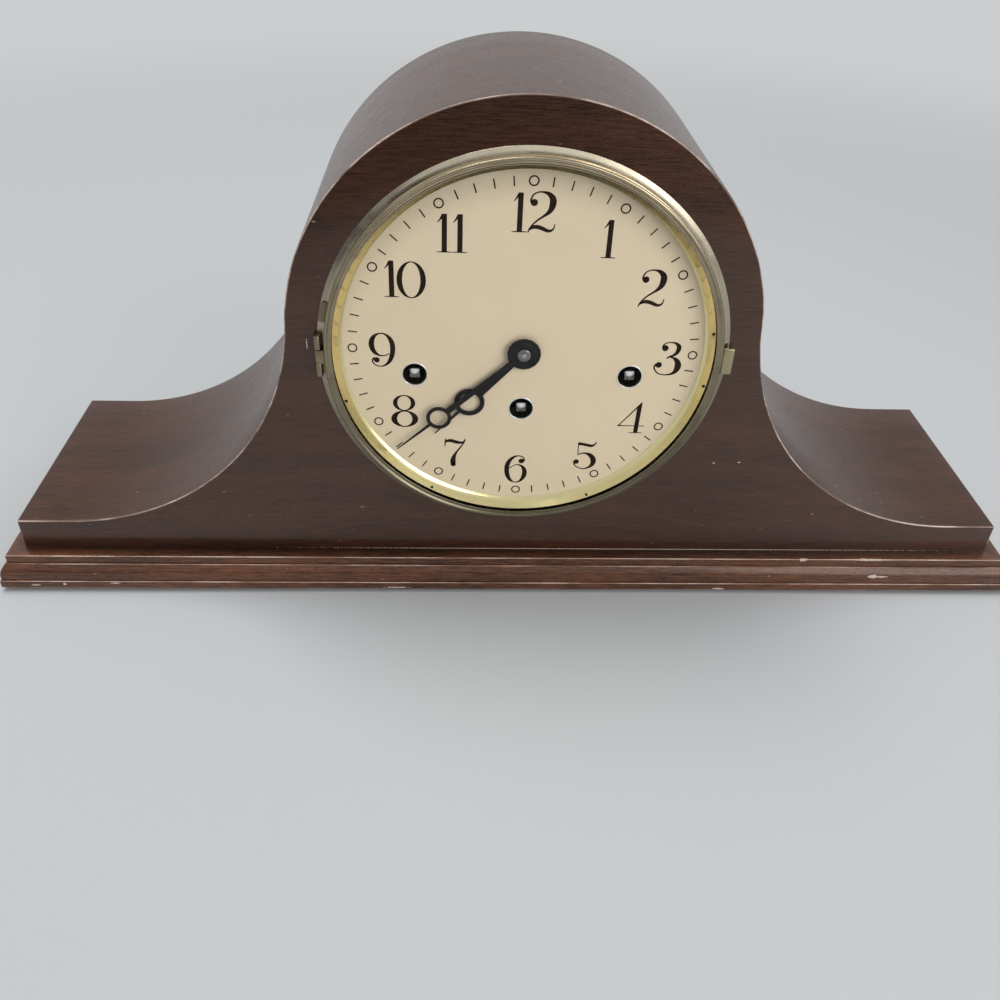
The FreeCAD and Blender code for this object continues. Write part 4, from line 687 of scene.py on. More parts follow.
SKIN, FRONT, BACK, SOFT = 3.2, 0.8, 119.0, 0.9
ease, rise = softened(SOFT, 180, 90)
lift = np.sin(np.linspace(0, math.pi, 6))
section = [(0, FRONT, 0.1), (0, 1.5, 0), (0, 30, 0), (0, 60, 0), (0, 90, 0)]
section += [(SOFT + dn, BACK - SOFT + dy, rub) for dn, dy, rub in zip(ease, rise, lift)]
section += [(SKIN, BACK, 0), (SKIN, FRONT, 0)]
rows = np.stack([in_case(hump(inset), y) for inset, y, rub in section])
rubs = np.array([rub for inset, y, rub in section])[:, None]
across_run = np.array([inset + y for inset, y, rub in section])[:, None]
figure_run = np.stack(np.broadcast_arrays(steps, across_run), -1)
bench_piece("roof", bar_of(rows, rubs, figure_run), "case", roof_wood, ["hood_skin"])

# %% [markdown]
# The face is a flat veneered board with the dial hole in it. Only its outer edge is shaped: a quarter
# round of less than a millimetre where the veneer meets the roof, the line that catches the light in the
# photograph.

# %% Face
DIAL_HOLE = 88.0


def wall_of(loop, near, far):
    """The upright wall of a hole between two depths behind the face."""
    return sheet_of(np.stack([at_depth(loop, FACE_Y + y) for y in (near, far)]), loop_columns=True)


quarter = np.linspace(0, math.pi / 2, 6)
rim = [(FRONT * (1 - math.cos(a)), FRONT * (1 - math.sin(a)), math.sin(2 * a) ** 3) for a in quarter]
rows = np.stack([in_case(hump(inset), y) for inset, y, rub in rim])
rubs = np.array([rub for inset, y, rub in rim])[:, None]
hole = circle(0, DIAL_Z, DIAL_HOLE, 96)
face = [
    sheet_of(rows, rubs),
    fill_of(rows[-1][:, [0, 2]], [hole], FACE_Y),
    fill_of(rows[0][:, [0, 2]], [hole], FACE_Y + FRONT),
    wall_of(hole, 0, FRONT),
    cap_of(np.vstack([rows[:, 0], rows[::-1, -1]])),
]
bench_piece("face", face, "case", case_wood, ["face_veneer"])

# %% [markdown]
# The base is three lengths of one moulding, mitred at the front corners. Its section goes down from a
# ledge over a short upright band, a small step, a round quarter and a foot band. The corners that hands
# and dusters reach are small rounds, which carry the rubbed line. A length of moulding is the section at
# two ends, and a mitre falls out by itself when an end's place moves out as far as the section does. Each
# length reads its own stretch of the wood's figure, so the grain doesn't repeat.

# %% Base mouldings
def rounded(corners, radius, count=4):
    """A closed outline of corners (out, z, wear): wear above 0 is rounded and rubbed, below 0 darker."""
    points, rub = [], []
    total = len(corners)
    for index, (out, z, soft) in enumerate(corners):
        here = np.array([out, z], float)
        if soft <= 0:
            points.append(here)
            rub.append(soft)
            continue
        before = np.array(corners[index - 1][:2], float) - here
        after = np.array(corners[(index + 1) % total][:2], float) - here
        first = here + before / np.hypot(*before) * radius
        last = here + after / np.hypot(*after) * radius
        share = np.linspace(0, 1, count)[:, None]
        points += list((1 - share) ** 2 * first + 2 * share * (1 - share) * here + share ** 2 * last)
        rub += [soft * math.sin(math.pi * s) ** 0.5 for s in np.linspace(0, 1, count)]
    return np.array(points), np.array(rub)


LEDGE, REACH, STEP, BAND, FOOT, DEEP, WIDE = 7.5, 12.0, 0.8, 4.5, 4.5, 17.7, 34.0
BULGE, EDGE_ROUND = 1.15, 0.45
along = np.linspace(0, 1, 12)[:, None]
top_end, low_end = np.array([LEDGE + STEP, -BAND]), np.array([REACH - STEP, FOOT - DEEP])
chord = low_end - top_end
outward = np.array([-chord[1], chord[0]]) / np.hypot(*chord)
quarter_round = top_end + chord * along + outward * np.sin(math.pi * along) * BULGE
corners = [
    (LEDGE - WIDE, 0, 0), (-0.3, 0, -1), (1.2, 0, -0.9), (LEDGE - 1.6, 0, 0), (LEDGE, 0, 1.0),
    (LEDGE, -BAND, 0), (LEDGE + STEP, -BAND, 0.35),
    *[(out, z, 0) for out, z in quarter_round[1:-1]],
    (REACH - STEP, FOOT - DEEP, 0), (REACH, FOOT - DEEP, 0.7), (REACH, -DEEP, 0.5), (LEDGE - WIDE, -DEEP, 0),
]
moulding, rub = rounded(corners, EDGE_ROUND)
section_run = np.r_[0, np.cumsum(np.hypot(*np.diff(moulding, axis=0).T))]


def moulding_ends(ends, wear, run):
    """A length of moulding between its two end sections; run is where its grain begins and ends."""
    share = np.linspace(0, 1, 33)
    rows = (ends[0] + (ends[1] - ends[0]) * share[:, None, None]).transpose(1, 0, 2)
    grain = np.broadcast_arrays(run[0] + (run[1] - run[0]) * share, section_run[:, None])
    return bar_of(rows, wear[:, None], np.stack(grain, -1))


def base_place(x, y, z):
    """Places from half-width, depth behind the face and height above the base's top."""
    x, y, z = np.broadcast_arrays(x, FACE_Y + y, BASE_TOP + z)
    return np.stack([x, y, z], -1)


FRONT_GRAIN, SIDE_GRAIN, SIDE_LONG = (-300, 300), 700, 130
out, height = moulding[:, 0], moulding[:, 1]
front_ends = [base_place(side * (HALF + out), -out, height) for side in (-1, 1)]
bench_piece("base_front", moulding_ends(front_ends, rub, FRONT_GRAIN), "case", base_wood,
            ["base_front_moulding"])
for side, label in ((-1, "left"), (1, "right")):
    ends = [base_place(side * (HALF + out), depth, height) for depth in (-out, BACK + 0 * out)]
    grain_run = (SIDE_GRAIN * side, SIDE_GRAIN * side + SIDE_LONG)
    bench_piece("base_" + label, moulding_ends(ends, rub, grain_run), "case", base_wood,
                ["base_%s_moulding" % label])


# %% [markdown]
# Everything round on the front is turned: a section of radius and depth, spun about the middle of the dial.
# The bezel is a thin brass ring with a dished face and a rolled rim. Behind the glass, a polished ring
# slopes in to the dial, and its flat flange lies on the wood outside the bezel. Their colours carry painted
# light: the bezel and the flange are painted bright at the top and darker towards the bottom, and the
# sloping ring is painted dark at the top.

# %% Turned rings
def spun(section, count=256, centre=(0, 0), closed=True):
    """A section of (radius, depth behind the face) spun about the dial's middle or another centre."""
    section = np.asarray(section, float)
    angle = np.arange(count) * 2 * math.pi / count
    radius, depth = section[:, :1], section[:, 1:]
    x = centre[0] + radius * np.cos(angle)
    z = DIAL_Z + centre[1] + radius * np.sin(angle)
    points = np.stack(np.broadcast_arrays(x, FACE_Y + depth, z), -1)
    run = np.r_[0, np.cumsum(np.hypot(*np.diff(section, axis=0).T))][:, None]
    grain = np.stack(np.broadcast_arrays(angle * section[:, 0].mean(), run), -1)
    return sheet_of(points, grain=grain, loop_rows=closed, loop_columns=True)


def turned(name, section, body, material, slot, replaces=(), **how):
    """A piece that is one spun section."""
    bench_piece(name, [spun(section, **how)], body, material, replaces)


def curve_through(points, count):
    """A smooth curve through places: on each span, the cubic that leaves and meets along its neighbours."""
    points = np.asarray(points, float)
    padded = np.vstack([2 * points[0] - points[1], points, 2 * points[-1] - points[-2]])
    where = np.linspace(0, len(points) - 1, count)
    span = np.minimum(where.astype(int), len(points) - 2)
    t = (where - span)[:, None]
    a, b, c, d = (padded[span + k] for k in range(4))
    slope, bend, twist = c - a, 2 * a - 5 * b + 4 * c - d, 3 * b - a - 3 * c + d
    return 0.5 * (2 * b + slope * t + bend * t ** 2 + twist * t ** 3)


# Painted light: the bezel is painted bright at the top and darker towards the bottom.
bezel_brass = metal("bezel_brass", (0.54, 0.455, 0.31), 0.18, "grain", cloud=0.35, spotting=0.3,
                    shade=((0, -3, 95), 20, 190, 0.66))
# Painted light: the flange is painted bright at the top and darker towards the bottom.
flange_brass = metal("flange_brass", (0.95, 0.835, 0.62), 0.2, "grain", cloud=0.22, spotting=0.15,
                     shade=((0, 0, 95), 25, 175, 0.78))
# Painted shade: the sloping ring is painted dark at its top.
gold_brass = metal("polished_brass", (0.88, 0.775, 0.42), 0.17, "grain", cloud=0.04, spotting=0.03,
                   shade=((0, 0, -30), 101, 115, 0.86))

bezel_section = np.vstack([
    [(89.8, -1.15), (89.8, -3.4)],
    arc(88.95, -3.75, 0.85, 0, -2.6, 12),
    curve_through([(88.1, -4.08), (87.7, -3.78), (87.2, -3.66), (86.8, -3.7)], 7),
    arc(86.7, -3.4, 0.3, -1.6, -4.2, 6),
    [(87.4, -2.9), (88.6, -3.0), (89.1, -3.3), (89.1, -1.15)],
])
turned("bezel_ring", bezel_section, "bezel_door", bezel_brass, "gilt_brass", ["bezel"])

flange_section = [(93.0, 0.0), (92.96, -0.06), (91.5, -0.43), (90.1, -0.79), (89.6, -0.8), (86.9, -0.8),
                  (86.4, -0.8), (86.4, -0.2), (87.1, -0.02), (88.0, 0.0)]
slope_section = np.vstack([
    curve_through([(86.38, -0.78), (85.3, 0.9), (83.9, 3.0), (82.65, 4.0)], 9),
    [(82.6, 4.78), (83.4, 4.78), (84.8, 3.2), (86.2, 1.0), (86.9, -0.1)],
])
turned("flange_ring", flange_section, "case", flange_brass, "grey_brass", ["dial_pan"])
turned("reflector_ring", slope_section, "case", gold_brass, "grey_brass", ["dial_pan"])

# %% [markdown]
# The dial is a thin sheet painted a warm cream. Its three winding holes have narrow bright eyelets. The
# paint is almost flat, with a faint cloud and a fine tooth that keep it from looking like paper. Near its
# rim, most at the top, the cream carries a painted shadow of the bezel.

# %% Dial
def paint(name, colour, shade, rough, edge=None, shine=0.5):
    """Matte paint: a faint cloud between two tones, and a fine tooth in the surface; an edge, if given, adds
    painted shade.
    """
    material, bench, shader = new_material(name)
    where = coordinate(bench, "object")
    cloud = bench.ramp(bench.noise(where, 18, 4), 0.3, 0.7)
    grit = bench.noise(where, 900, 2)
    tone = bench.mix(bench.add(0.0, (cloud, 0.7), (grit, 0.3)), colour, shade)
    bench.feed(painted_shade(bench, tone, *edge) if edge else tone, shader.inputs["Base Color"])
    shader.inputs["Specular IOR Level"].default_value = shine
    bench.feed(bench.add(rough - 0.06, (grit, 0.12)), shader.inputs["Roughness"])
    bench.feed(bench.bump(grit, 0.000012, 0.6), shader.inputs["Normal"])
    return material


# Painted shadow: near the rim, most at the top, the cream is darkened as under the bezel.
cream = paint("cream_paint", (0.735, 0.604, 0.424), (0.700, 0.572, 0.397), 0.55,
              edge=((0, 4, -14), 80, 97.5, 0.30))
ink = paint("numeral_ink", (0.012, 0.0045, 0.002), (0.019, 0.0085, 0.004), 0.6, shine=0.1)
HOLES = [(-50.0, -12.5), (50.0, -12.5), (0.0, -30.3)]
DIAL_FACE, DIAL_BACK = 4.0, 4.8
DIAL_R, HOLE_R, CENTRE_R = 82.6, 5.6, 6.0

openings = [circle(x, DIAL_Z + z, HOLE_R, 48) for x, z in HOLES] + [circle(0, DIAL_Z, CENTRE_R, 48)]
edge = circle(0, DIAL_Z, DIAL_R, 192)
dial = [fill_of(edge, openings, FACE_Y + y) for y in (DIAL_FACE, DIAL_BACK)]
dial += [wall_of(loop, DIAL_FACE, DIAL_BACK) for loop in (edge, *openings)]
bench_piece("dial_face", dial, "case", cream, ["dial_plate"])

eyelet_metal = metal("eyelet_metal", (0.95, 0.94, 0.91), 0.2, "grain", cloud=0.1, spotting=0.1)
EYELET_R, EYELET_HALF, EYELET_FOOT, EYELET_RISE = 5.84, 0.32, 3.98, 0.2
bead = np.linspace(0, math.pi, 8)
eyelet = np.column_stack([
    EYELET_R + EYELET_HALF * np.cos(bead), EYELET_FOOT - EYELET_RISE * np.sin(bead)
])
eyelet = np.vstack([eyelet, [(5.50, 5.2), (5.57, 5.2), (5.59, 4.1)]])
for index, spot in enumerate(HOLES):
    turned("winding_eyelet_%d" % (index + 1), eyelet, "case", eyelet_metal, "grey_brass", count=64,
           centre=spot)


# %% [markdown]
# The numerals are drawn as an engraver draws them: a stroke is a smooth line with a width at each point,
# heavy on the right-hand side of a bowl and hair thin at top and bottom, and a round drop ends the curls.
# The printing is a skin of ink a few hundredths of a millimetre above the paint.

# %% Strokes
INK = DIAL_FACE - 0.035
TILT = turn(-0.57)


def printed(points):
    """Dial places (x, z from the middle) turned with the slightly crooked dial, as places of the clock."""
    points = np.asarray(points, float)
    x = points[..., 0] * math.cos(TILT) - points[..., 1] * math.sin(TILT)
    z = points[..., 0] * math.sin(TILT) + points[..., 1] * math.cos(TILT)
    return np.stack([x, np.full_like(x, FACE_Y + INK), DIAL_Z + z], -1)


def stroke(path, shift=(0, 0), count=8):
    """A flat ribbon along a smooth line of (x, z, width), shifted to its place."""
    line = curve_through(path, (len(path) - 1) * count + 1)
    way = np.gradient(line[:, :2], axis=0)
    way /= np.hypot(*way.T)[:, None]
    across = np.column_stack([-way[:, 1], way[:, 0]]) * line[:, 2:] / 2
    return sheet_of(printed(np.stack([line[:, :2] + across, line[:, :2] - across]) + np.array(shift)))


def drop(x, z, radius, shift=(0, 0)):
    """A filled round end."""
    return cap_of(printed(circle(0, 0, radius, 32) + (x + shift[0], z + shift[1])))


def bowl(x, z, outer, inner, shift=(0, 0), count=72):
    """An oval ring: the outer oval less a narrower inner one, so that its sides are heavy."""
    angle = np.arange(count) * 2 * math.pi / count
    rings = [np.column_stack([x + a * np.cos(angle), z + b * np.sin(angle)]) for a, b in (outer, inner)]
    return sheet_of(printed(np.stack(rings) + np.array(shift)), loop_columns=True)


def patch(points, shift=(0, 0)):
    """A flat filled shape with straight sides."""
    return cap_of(printed(np.asarray(points, float) + np.array(shift)))


# %% [markdown]
# Each numeral is its few strokes, measured from the foot of its left side; the one from the foot of its
# stem, the nought from its middle. Drops, strokes and patches overlap freely, because ink on ink is one
# black.

# %% Numerals 1 to 4
def one(at):
    """An upright stem on a hair serif, with a small flag."""
    return [
        patch([(-1.1, 0.2), (1.15, 0.2), (1.1, 16.8), (-1.1, 16.8)], at),
        stroke([(-3.2, 0.2, 0.34), (-1.2, 0.26, 0.5), (1.2, 0.26, 0.5), (3.2, 0.2, 0.34)], at),
        stroke([(-2.85, 13.2, 0.4), (-2.0, 14.15, 0.6), (-1.15, 15.4, 0.95), (-0.7, 16.35, 0.9)], at),
    ]


def two(at):
    """A curl from a round drop, a heavy shoulder, a thin diagonal and a waved foot."""
    return [
        drop(3.45, 13.8, 1.5, at),
        stroke([(2.25, 13.6, 0.9), (2.05, 15.0, 0.75), (3.0, 17.1, 0.65), (5.0, 18.15, 0.6),
                (6.9, 18.25, 0.8), (9.2, 17.6, 1.7), (10.9, 15.9, 2.6), (11.25, 14.0, 2.9),
                (10.8, 11.6, 2.5), (9.6, 9.7, 1.7), (7.6, 8.05, 1.05), (5.3, 6.4, 0.8), (3.3, 4.4, 0.7),
                (2.1, 2.7, 0.65), (1.45, 1.0, 0.6)], at),
        stroke([(1.9, 2.3, 0.9), (3.4, 3.25, 1.5), (5.2, 3.5, 1.8), (7.4, 2.9, 1.75), (9.6, 1.95, 1.5),
                (11.2, 2.05, 1.1), (12.3, 3.2, 0.65), (12.6, 5.0, 0.42)], at),
    ]


def three(at):
    """Two bowls, the lower one larger, each begun from a round drop, joined by a small tongue."""
    return [
        drop(5.75, 15.3, 1.5, at),
        stroke([(4.55, 15.4, 0.9), (4.75, 16.8, 0.75), (6.2, 18.0, 0.6), (8.3, 18.3, 0.6), (10.4, 17.8, 1.2),
                (11.8, 16.5, 2.0), (12.0, 14.9, 2.2), (11.3, 12.9, 1.7), (9.7, 11.6, 1.1), (8.0, 10.9, 0.9),
                (7.05, 9.9, 0.4)], at),
        drop(3.85, 6.65, 1.5, at),
        stroke([(8.2, 10.9, 0.5), (10.4, 10.3, 1.2), (12.0, 8.9, 2.3), (12.8, 7.0, 3.0), (12.7, 5.0, 2.9),
                (11.8, 3.2, 2.0), (10.0, 2.0, 1.1), (7.4, 1.55, 0.6), (4.4, 2.1, 0.6), (2.5, 3.8, 0.7),
                (1.9, 5.6, 0.8), (2.5, 7.1, 0.9)], at),
    ]


def four(at):
    """A thin diagonal and crossbar against a stem whose top is cut to a point."""
    return [
        patch([(9.0, 1.3), (11.1, 1.3), (11.6, 18.6), (9.35, 15.4)], at),
        stroke([(1.3, 5.2, 0.5), (5.6, 10.6, 0.62), (9.6, 15.9, 0.7), (11.4, 18.3, 0.6)], at),
        stroke([(0.9, 5.2, 0.62), (5.0, 5.2, 0.5), (10.0, 5.2, 0.46), (13.8, 5.2, 0.5)], at),
        stroke([(6.8, 1.25, 0.34), (9.0, 1.3, 0.48), (11.2, 1.3, 0.48), (13.4, 1.25, 0.34)], at),
        patch([(0.7, 4.9), (2.3, 4.95), (2.3, 6.5)], at),
    ]


# %% [markdown]
# The next three turn on a heavy curve. The widths rise where the line goes down and fall where it runs
# level, as a flat pen would write it.

# %% Numerals 5 to 7
def five(at):
    """A waved flag, a thin neck and one heavy bowl that ends in a round drop."""
    return [
        stroke([(3.05, 16.3, 1.9), (4.8, 16.15, 1.6), (7.4, 15.6, 1.6), (9.6, 15.2, 1.5), (11.0, 16.0, 0.9),
                (11.85, 17.6, 0.4)], at),
        stroke([(3.05, 17.0, 0.5), (3.15, 13.0, 0.45), (3.35, 9.6, 0.5)], at),
        stroke([(3.3, 9.8, 0.5), (4.8, 10.6, 0.7), (6.8, 10.8, 0.95), (9.1, 9.9, 2.0), (10.8, 7.9, 2.6),
                (11.25, 5.6, 2.6), (10.4, 3.5, 1.9), (8.6, 2.1, 1.0), (6.4, 1.5, 0.6), (3.9, 2.2, 0.6),
                (2.1, 3.7, 0.65), (1.6, 5.5, 0.75)], at),
        drop(2.75, 5.7, 1.4, at),
    ]


def six(at):
    """A long heavy back, a curl with a drop at the top and a closed bowl."""
    return [
        drop(10.05, 14.5, 1.4, at),
        stroke([(11.3, 14.2, 0.75), (11.5, 15.5, 0.65), (10.4, 17.0, 0.6), (8.2, 17.5, 0.7),
                (6.0, 16.6, 1.3), (4.2, 14.6, 2.0), (3.2, 12.0, 2.3), (3.0, 9.0, 2.4), (3.5, 5.8, 2.2),
                (4.8, 3.2, 1.6), (6.4, 1.9, 0.8), (7.8, 1.6, 0.6), (9.7, 2.3, 1.1), (11.3, 4.5, 2.0),
                (11.95, 7.2, 2.4), (11.5, 9.8, 2.0), (10.1, 11.6, 1.1), (8.2, 12.3, 0.6),
                (6.2, 11.7, 0.5), (4.4, 10.1, 0.5)], at),
    ]


def seven(at):
    """A waved flag with a serif, and a stem that swells to a rounded foot."""
    return [
        stroke([(2.5, 17.6, 0.35), (2.5, 16.0, 0.75), (2.35, 14.4, 0.6), (2.2, 12.8, 0.3)], at),
        stroke([(2.6, 15.9, 1.3), (5.0, 16.3, 1.9), (7.8, 15.5, 1.8), (9.8, 15.2, 1.4), (11.4, 15.7, 1.0),
                (12.1, 17.5, 0.4)], at),
        stroke([(11.7, 15.8, 0.6), (10.0, 12.8, 0.75), (8.0, 9.8, 1.0), (6.8, 7.2, 1.8), (6.25, 4.6, 2.6),
                (6.35, 2.4, 2.5)], at),
        drop(6.36, 2.4, 1.27, at),
    ]


# %% [markdown]
# The eight and the nought are ovals with an oval hole. The hole is nearly as high and much narrower, so
# the sides come out heavy and the top and foot thin.

# %% Numerals 8, 9 and nought
def eight(at):
    """Two ovals on one another, the lower one larger."""
    return [bowl(7.4, 14.5, (5.25, 4.35), (3.15, 3.8), at), bowl(7.5, 5.75, (6.4, 4.6), (3.6, 4.0), at)]


def nine(at):
    """The six turned round: a closed bowl, a long heavy back and a curl at the foot."""
    return [
        drop(4.95, 5.1, 1.35, at),
        stroke([(10.7, 8.4, 0.5), (9.1, 7.6, 0.55), (7.4, 7.3, 0.6), (5.6, 7.8, 1.1), (3.7, 9.6, 2.0),
                (2.8, 12.6, 2.5), (3.2, 15.5, 2.2), (4.6, 17.5, 1.4), (6.8, 18.5, 0.65), (9.1, 18.1, 0.9),
                (11.1, 16.1, 1.8), (12.2, 13.2, 2.3), (12.3, 10.0, 2.3), (11.7, 6.8, 2.1), (10.5, 4.2, 1.6),
                (8.7, 2.5, 0.9), (6.8, 1.85, 0.55), (4.5, 2.4, 0.55), (3.1, 3.9, 0.7), (3.2, 5.5, 0.85),
                (4.2, 6.3, 0.6)], at),
    ]


def nought(at):
    """A tall oval with heavy sides."""
    return [bowl(0, 0, (6.35, 8.5), (3.95, 8.0), at)]


# %% [markdown]
# All numerals stand upright round the dial, the lower ones too. Each place was measured in the photograph,
# from the middle of the dial to the point that the numeral's strokes are measured from.

# %% Numerals on the dial
numerals = {
    "1": one((33.6, 45.6)),
    "2": two((48, 22.5)),
    "3": three((59, -12)),
    "4": four((46.5, -44)),
    "5": five((26.5, -66)),
    "6": six((-8, -75)),
    "7": seven((-38, -65.5)),
    "8": eight((-62.5, -43)),
    "9": nine((-72, -11)),
    "10": one((-59.3, 25.2)) + nought((-50.7, 33.35)),
    "11": one((-36.5, 46.2)) + one((-29.9, 46.2)),
    "12": one((-5.05, 56.0)) + two((-2.85, 55)),
}
for name, shapes in numerals.items():
    bench_piece("numeral_" + name, shapes, "case", ink, join=0.0001)


# %% [markdown]
# The minute track has a small open ring at each hour and a short radial tick at each minute between, all
# on one circle. The angle follows from the hour or the minute; the ring is a narrow band between two
# circles.

# %% Minute track
TRACK, TICK_HALF, TICK_REACH = 77.8, 0.31, 2.1


def tick(minute):
    """A short radial bar across the track's circle."""
    angle = turn(90 - 6 * minute)
    out = np.array([math.cos(angle), math.sin(angle)])
    side = np.array([-out[1], out[0]]) * TICK_HALF
    near, far = out * (TRACK - TICK_REACH), out * (TRACK + TICK_REACH)
    return cap_of(printed(np.array([near - side, far - side, far + side, near + side])))


def hour_ring(hour):
    """A small open ring on the track at an hour."""
    angle = turn(90 - 30 * hour)
    x, z = TRACK * math.cos(angle), TRACK * math.sin(angle)
    return bowl(x, z, (2.25, 2.25), (1.6, 1.6), count=40)


track = [tick(minute) for minute in range(60) if minute % 5] + [hour_ring(hour) for hour in range(12)]
bench_piece("minute_track", track, "case", ink, join=0.0001)

# %% [markdown]
# The solids that stay as they are still need the small rounds that catch the light. A copy of the solid's
# mesh is merged, its flat areas are joined up, and a Bevel modifier breaks every sharp edge by a fraction
# of a millimetre. The copy takes the solid's place in the picture, and the solid stays underneath for the
# motion.

# %% Broken edges
def eased_copy(node, material, body, width, segments=2, angle=30):
    """A copy of a solid with each edge sharper than the angle cut by a small round of the given width."""
    thing = bpy.data.objects.new(node + "_eased", nodes[node].data.copy())
    scene.collection.objects.link(thing)
    shell = bmesh.new()
    shell.from_mesh(thing.data)
    bmesh.ops.remove_doubles(shell, verts=shell.verts, dist=0.002 * MM)
    bmesh.ops.dissolve_limit(shell, angle_limit=turn(2), verts=shell.verts, edges=shell.edges)
    shell.to_mesh(thing.data)
    shell.free()
    edge = thing.modifiers.new("edges", "BEVEL")
    edge.width = width * MM
    edge.segments = segments
    edge.limit_method = "ANGLE"
    edge.angle_limit = turn(angle)
    edge.use_clamp_overlap = True
    bpy.context.view_layer.update()
    ready = bpy.data.meshes.new_from_object(thing.evaluated_get(bpy.context.evaluated_depsgraph_get()))
    thing.modifiers.clear()
    thing.data = ready
    ready.shade_smooth()
    ready.set_sharp_from_angle(angle=turn(35))
    ready.materials.clear()
    ready.materials.append(material)
    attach(thing, body)
    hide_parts(node)


# %% [markdown]
# The glass is a flat disc with a ground edge. Light has to reach the dial through it, so for shadow rays
# it is simply transparent. Its index is kept low, so that it mirrors as little as in the photograph. A
# faint smear, like a cloth leaves, moves its roughness a little.

# %% Glass
def clear_glass(name):
    """Clear flat glass with faint wiping marks, transparent for shadow rays."""
    material, bench, shader = new_material(name)
    shader.inputs["Base Color"].default_value = (0.985, 0.99, 0.985, 1)
    shader.inputs["Transmission Weight"].default_value = 1
    shader.inputs["IOR"].default_value = 1.12
    wipe = bench.noise(bench.stretch(coordinate(bench, "object"), (25, 25, 9)), 1, 3)
    bench.feed(bench.ramp(wipe, 0.4, 0.8, 0.0, 0.03), shader.inputs["Roughness"])
    through = bench.node("ShaderNodeBsdfTransparent")
    shadow = bench.node("ShaderNodeLightPath").outputs["Is Shadow Ray"]
    bench.mix_shaders(shadow, shader.outputs["BSDF"], through.outputs["BSDF"], "Material Output")
    return material


glass = clear_glass("bezel_glass_clear")
pane = [(0.0, -2.65), (40, -2.65), (88.5, -2.65), (88.8, -2.4), (88.8, -1.4), (88.5, -1.15), (40, -1.15),
        (0.0, -1.15)]
turned("glass_pane", pane, "bezel_door", glass, "clear_glass", ["bezel_glass"], count=128, closed=False)

# %% [markdown]
# The hands are stamped steel in black lacquer, dark enough to read from across a room, with a soft shine
# on their broken edges. Their collet is turned: a flat disc, a cap with a raised rim, and in its middle
# the bright end of the arbor.

# %% Hands
def lacquer(name, colour, rough):
    """Black lacquer on steel: fine dust specks and a slow waviness in the shine."""
    material, bench, shader = new_material(name)
    where = coordinate(bench, "object")
    dust = bench.ramp(bench.noise(where, 1500, 2), 0.66, 0.74)
    dusty = bench.mix(bench.math("MULTIPLY", dust, 0.25), colour, (0.10, 0.10, 0.10))
    bench.feed(dusty, shader.inputs["Base Color"])
    shader.inputs["Specular IOR Level"].default_value = 0.26
    wave = bench.noise(where, 120, 3)
    bench.feed(bench.add(rough - 0.08, (wave, 0.16)), shader.inputs["Roughness"])
    bench.feed(bench.bump(wave, 0.00003, 0.5), shader.inputs["Normal"])
    return material


hand_black = lacquer("hand_lacquer", (0.0075, 0.0055, 0.0055), 0.34)
steel = metal("bright_steel", (0.44, 0.45, 0.46), 0.28, cloud=0.12, spots=(0.12, 0.07, 0.04), spotting=0.35)
eased_copy("minute_hand", hand_black, "minute_arbor", 0.16)
eased_copy("hour_hand", hand_black, "hour_pipe", 0.16)
collet = [(0.0, 0.36), (3.4, 0.37), (5.3, 0.42), (5.55, 0.55), (5.6, 0.88), (2.3, 0.9), (0.0, 0.9)]
cap = [(0.0, -0.24), (1.25, -0.24), (1.6, -0.40), (2.35, -0.42), (2.75, -0.34), (2.95, -0.16), (3.0, 0.1),
       (3.0, 0.5), (0.0, 0.5)]
pin_end = [(0.0, -0.86), (0.7, -0.84), (1.05, -0.74), (1.15, -0.6), (1.15, 0.2), (0.0, 0.2)]
black_steel = metal("black_steel", (0.24, 0.235, 0.235), 0.22, cloud=0.2)
for name, section, material, slot, solids, count in (
    ("hand_collet", collet, hand_black, "black_hand", ["hand_nut"], 64),
    ("collet_cap", cap, black_steel, "black_hand", [], 64),
    ("arbor_end", pin_end, steel, "movement_steel", [], 32),
):
    turned(name, section, "minute_arbor", material, slot, solids, count=count, closed=False)


# %% [markdown]
# The bezel's hinge and its finger tab are small brass parts that have gone dull. Beside the hinge two
# short leaves hug the ring. Each is a band between two circles with rounded outer corners, less than a
# millimetre thick.

# %% Hinge and tab
def curved_plate(inner, outer, start, end, front, back, corner=1.2, count=28):
    """A thin plate between two radii and two angles; near its ends the outer radius follows a round."""
    place = np.arange(count)
    from_end = np.minimum(place, place[::-1]) / (count - 1) * abs(turn(end - start)) * outer
    short = np.clip(corner - from_end, 0, None)
    width = outer - corner + np.sqrt(np.clip(corner ** 2 - short ** 2, 0, None))
    rings = ((inner, back), (width, back), (width, front + 0.2), (width - 0.2, front), (inner, front))
    return bar_of(np.stack([
        at_depth(arc(0, DIAL_Z, radius, turn(start), turn(end), count), FACE_Y + y) for radius, y in rings
    ]))


dull_brass = metal("dull_brass", (0.32, 0.265, 0.175), 0.36, cloud=0.45, spotting=0.3)
LEAF_IN, LEAF_OUT, LEAF_BACK = 90.0, 92.8, -0.82
for label, start, end, front in (("low", 179.5, 186, -1.5), ("high", 164, 170, -1.6)):
    leaf = curved_plate(LEAF_IN, LEAF_OUT, start, end, front, LEAF_BACK)
    bench_piece("hinge_leaf_" + label, leaf, "case", dull_brass)
eased_copy("bezel_hinge_fixed", dull_brass, "case", 0.15)
eased_copy("bezel_hinge_moving", dull_brass, "bezel_door", 0.15)
tab_brass = metal("tab_brass", (0.50, 0.45, 0.27), 0.28, cloud=0.3, spotting=0.2)
eased_copy("bezel_tab", tab_brass, "bezel_door", 0.55, segments=4)

# %% [markdown]
# The reflector ring is held by small bent tongues, which show as dark dots where they come through it.

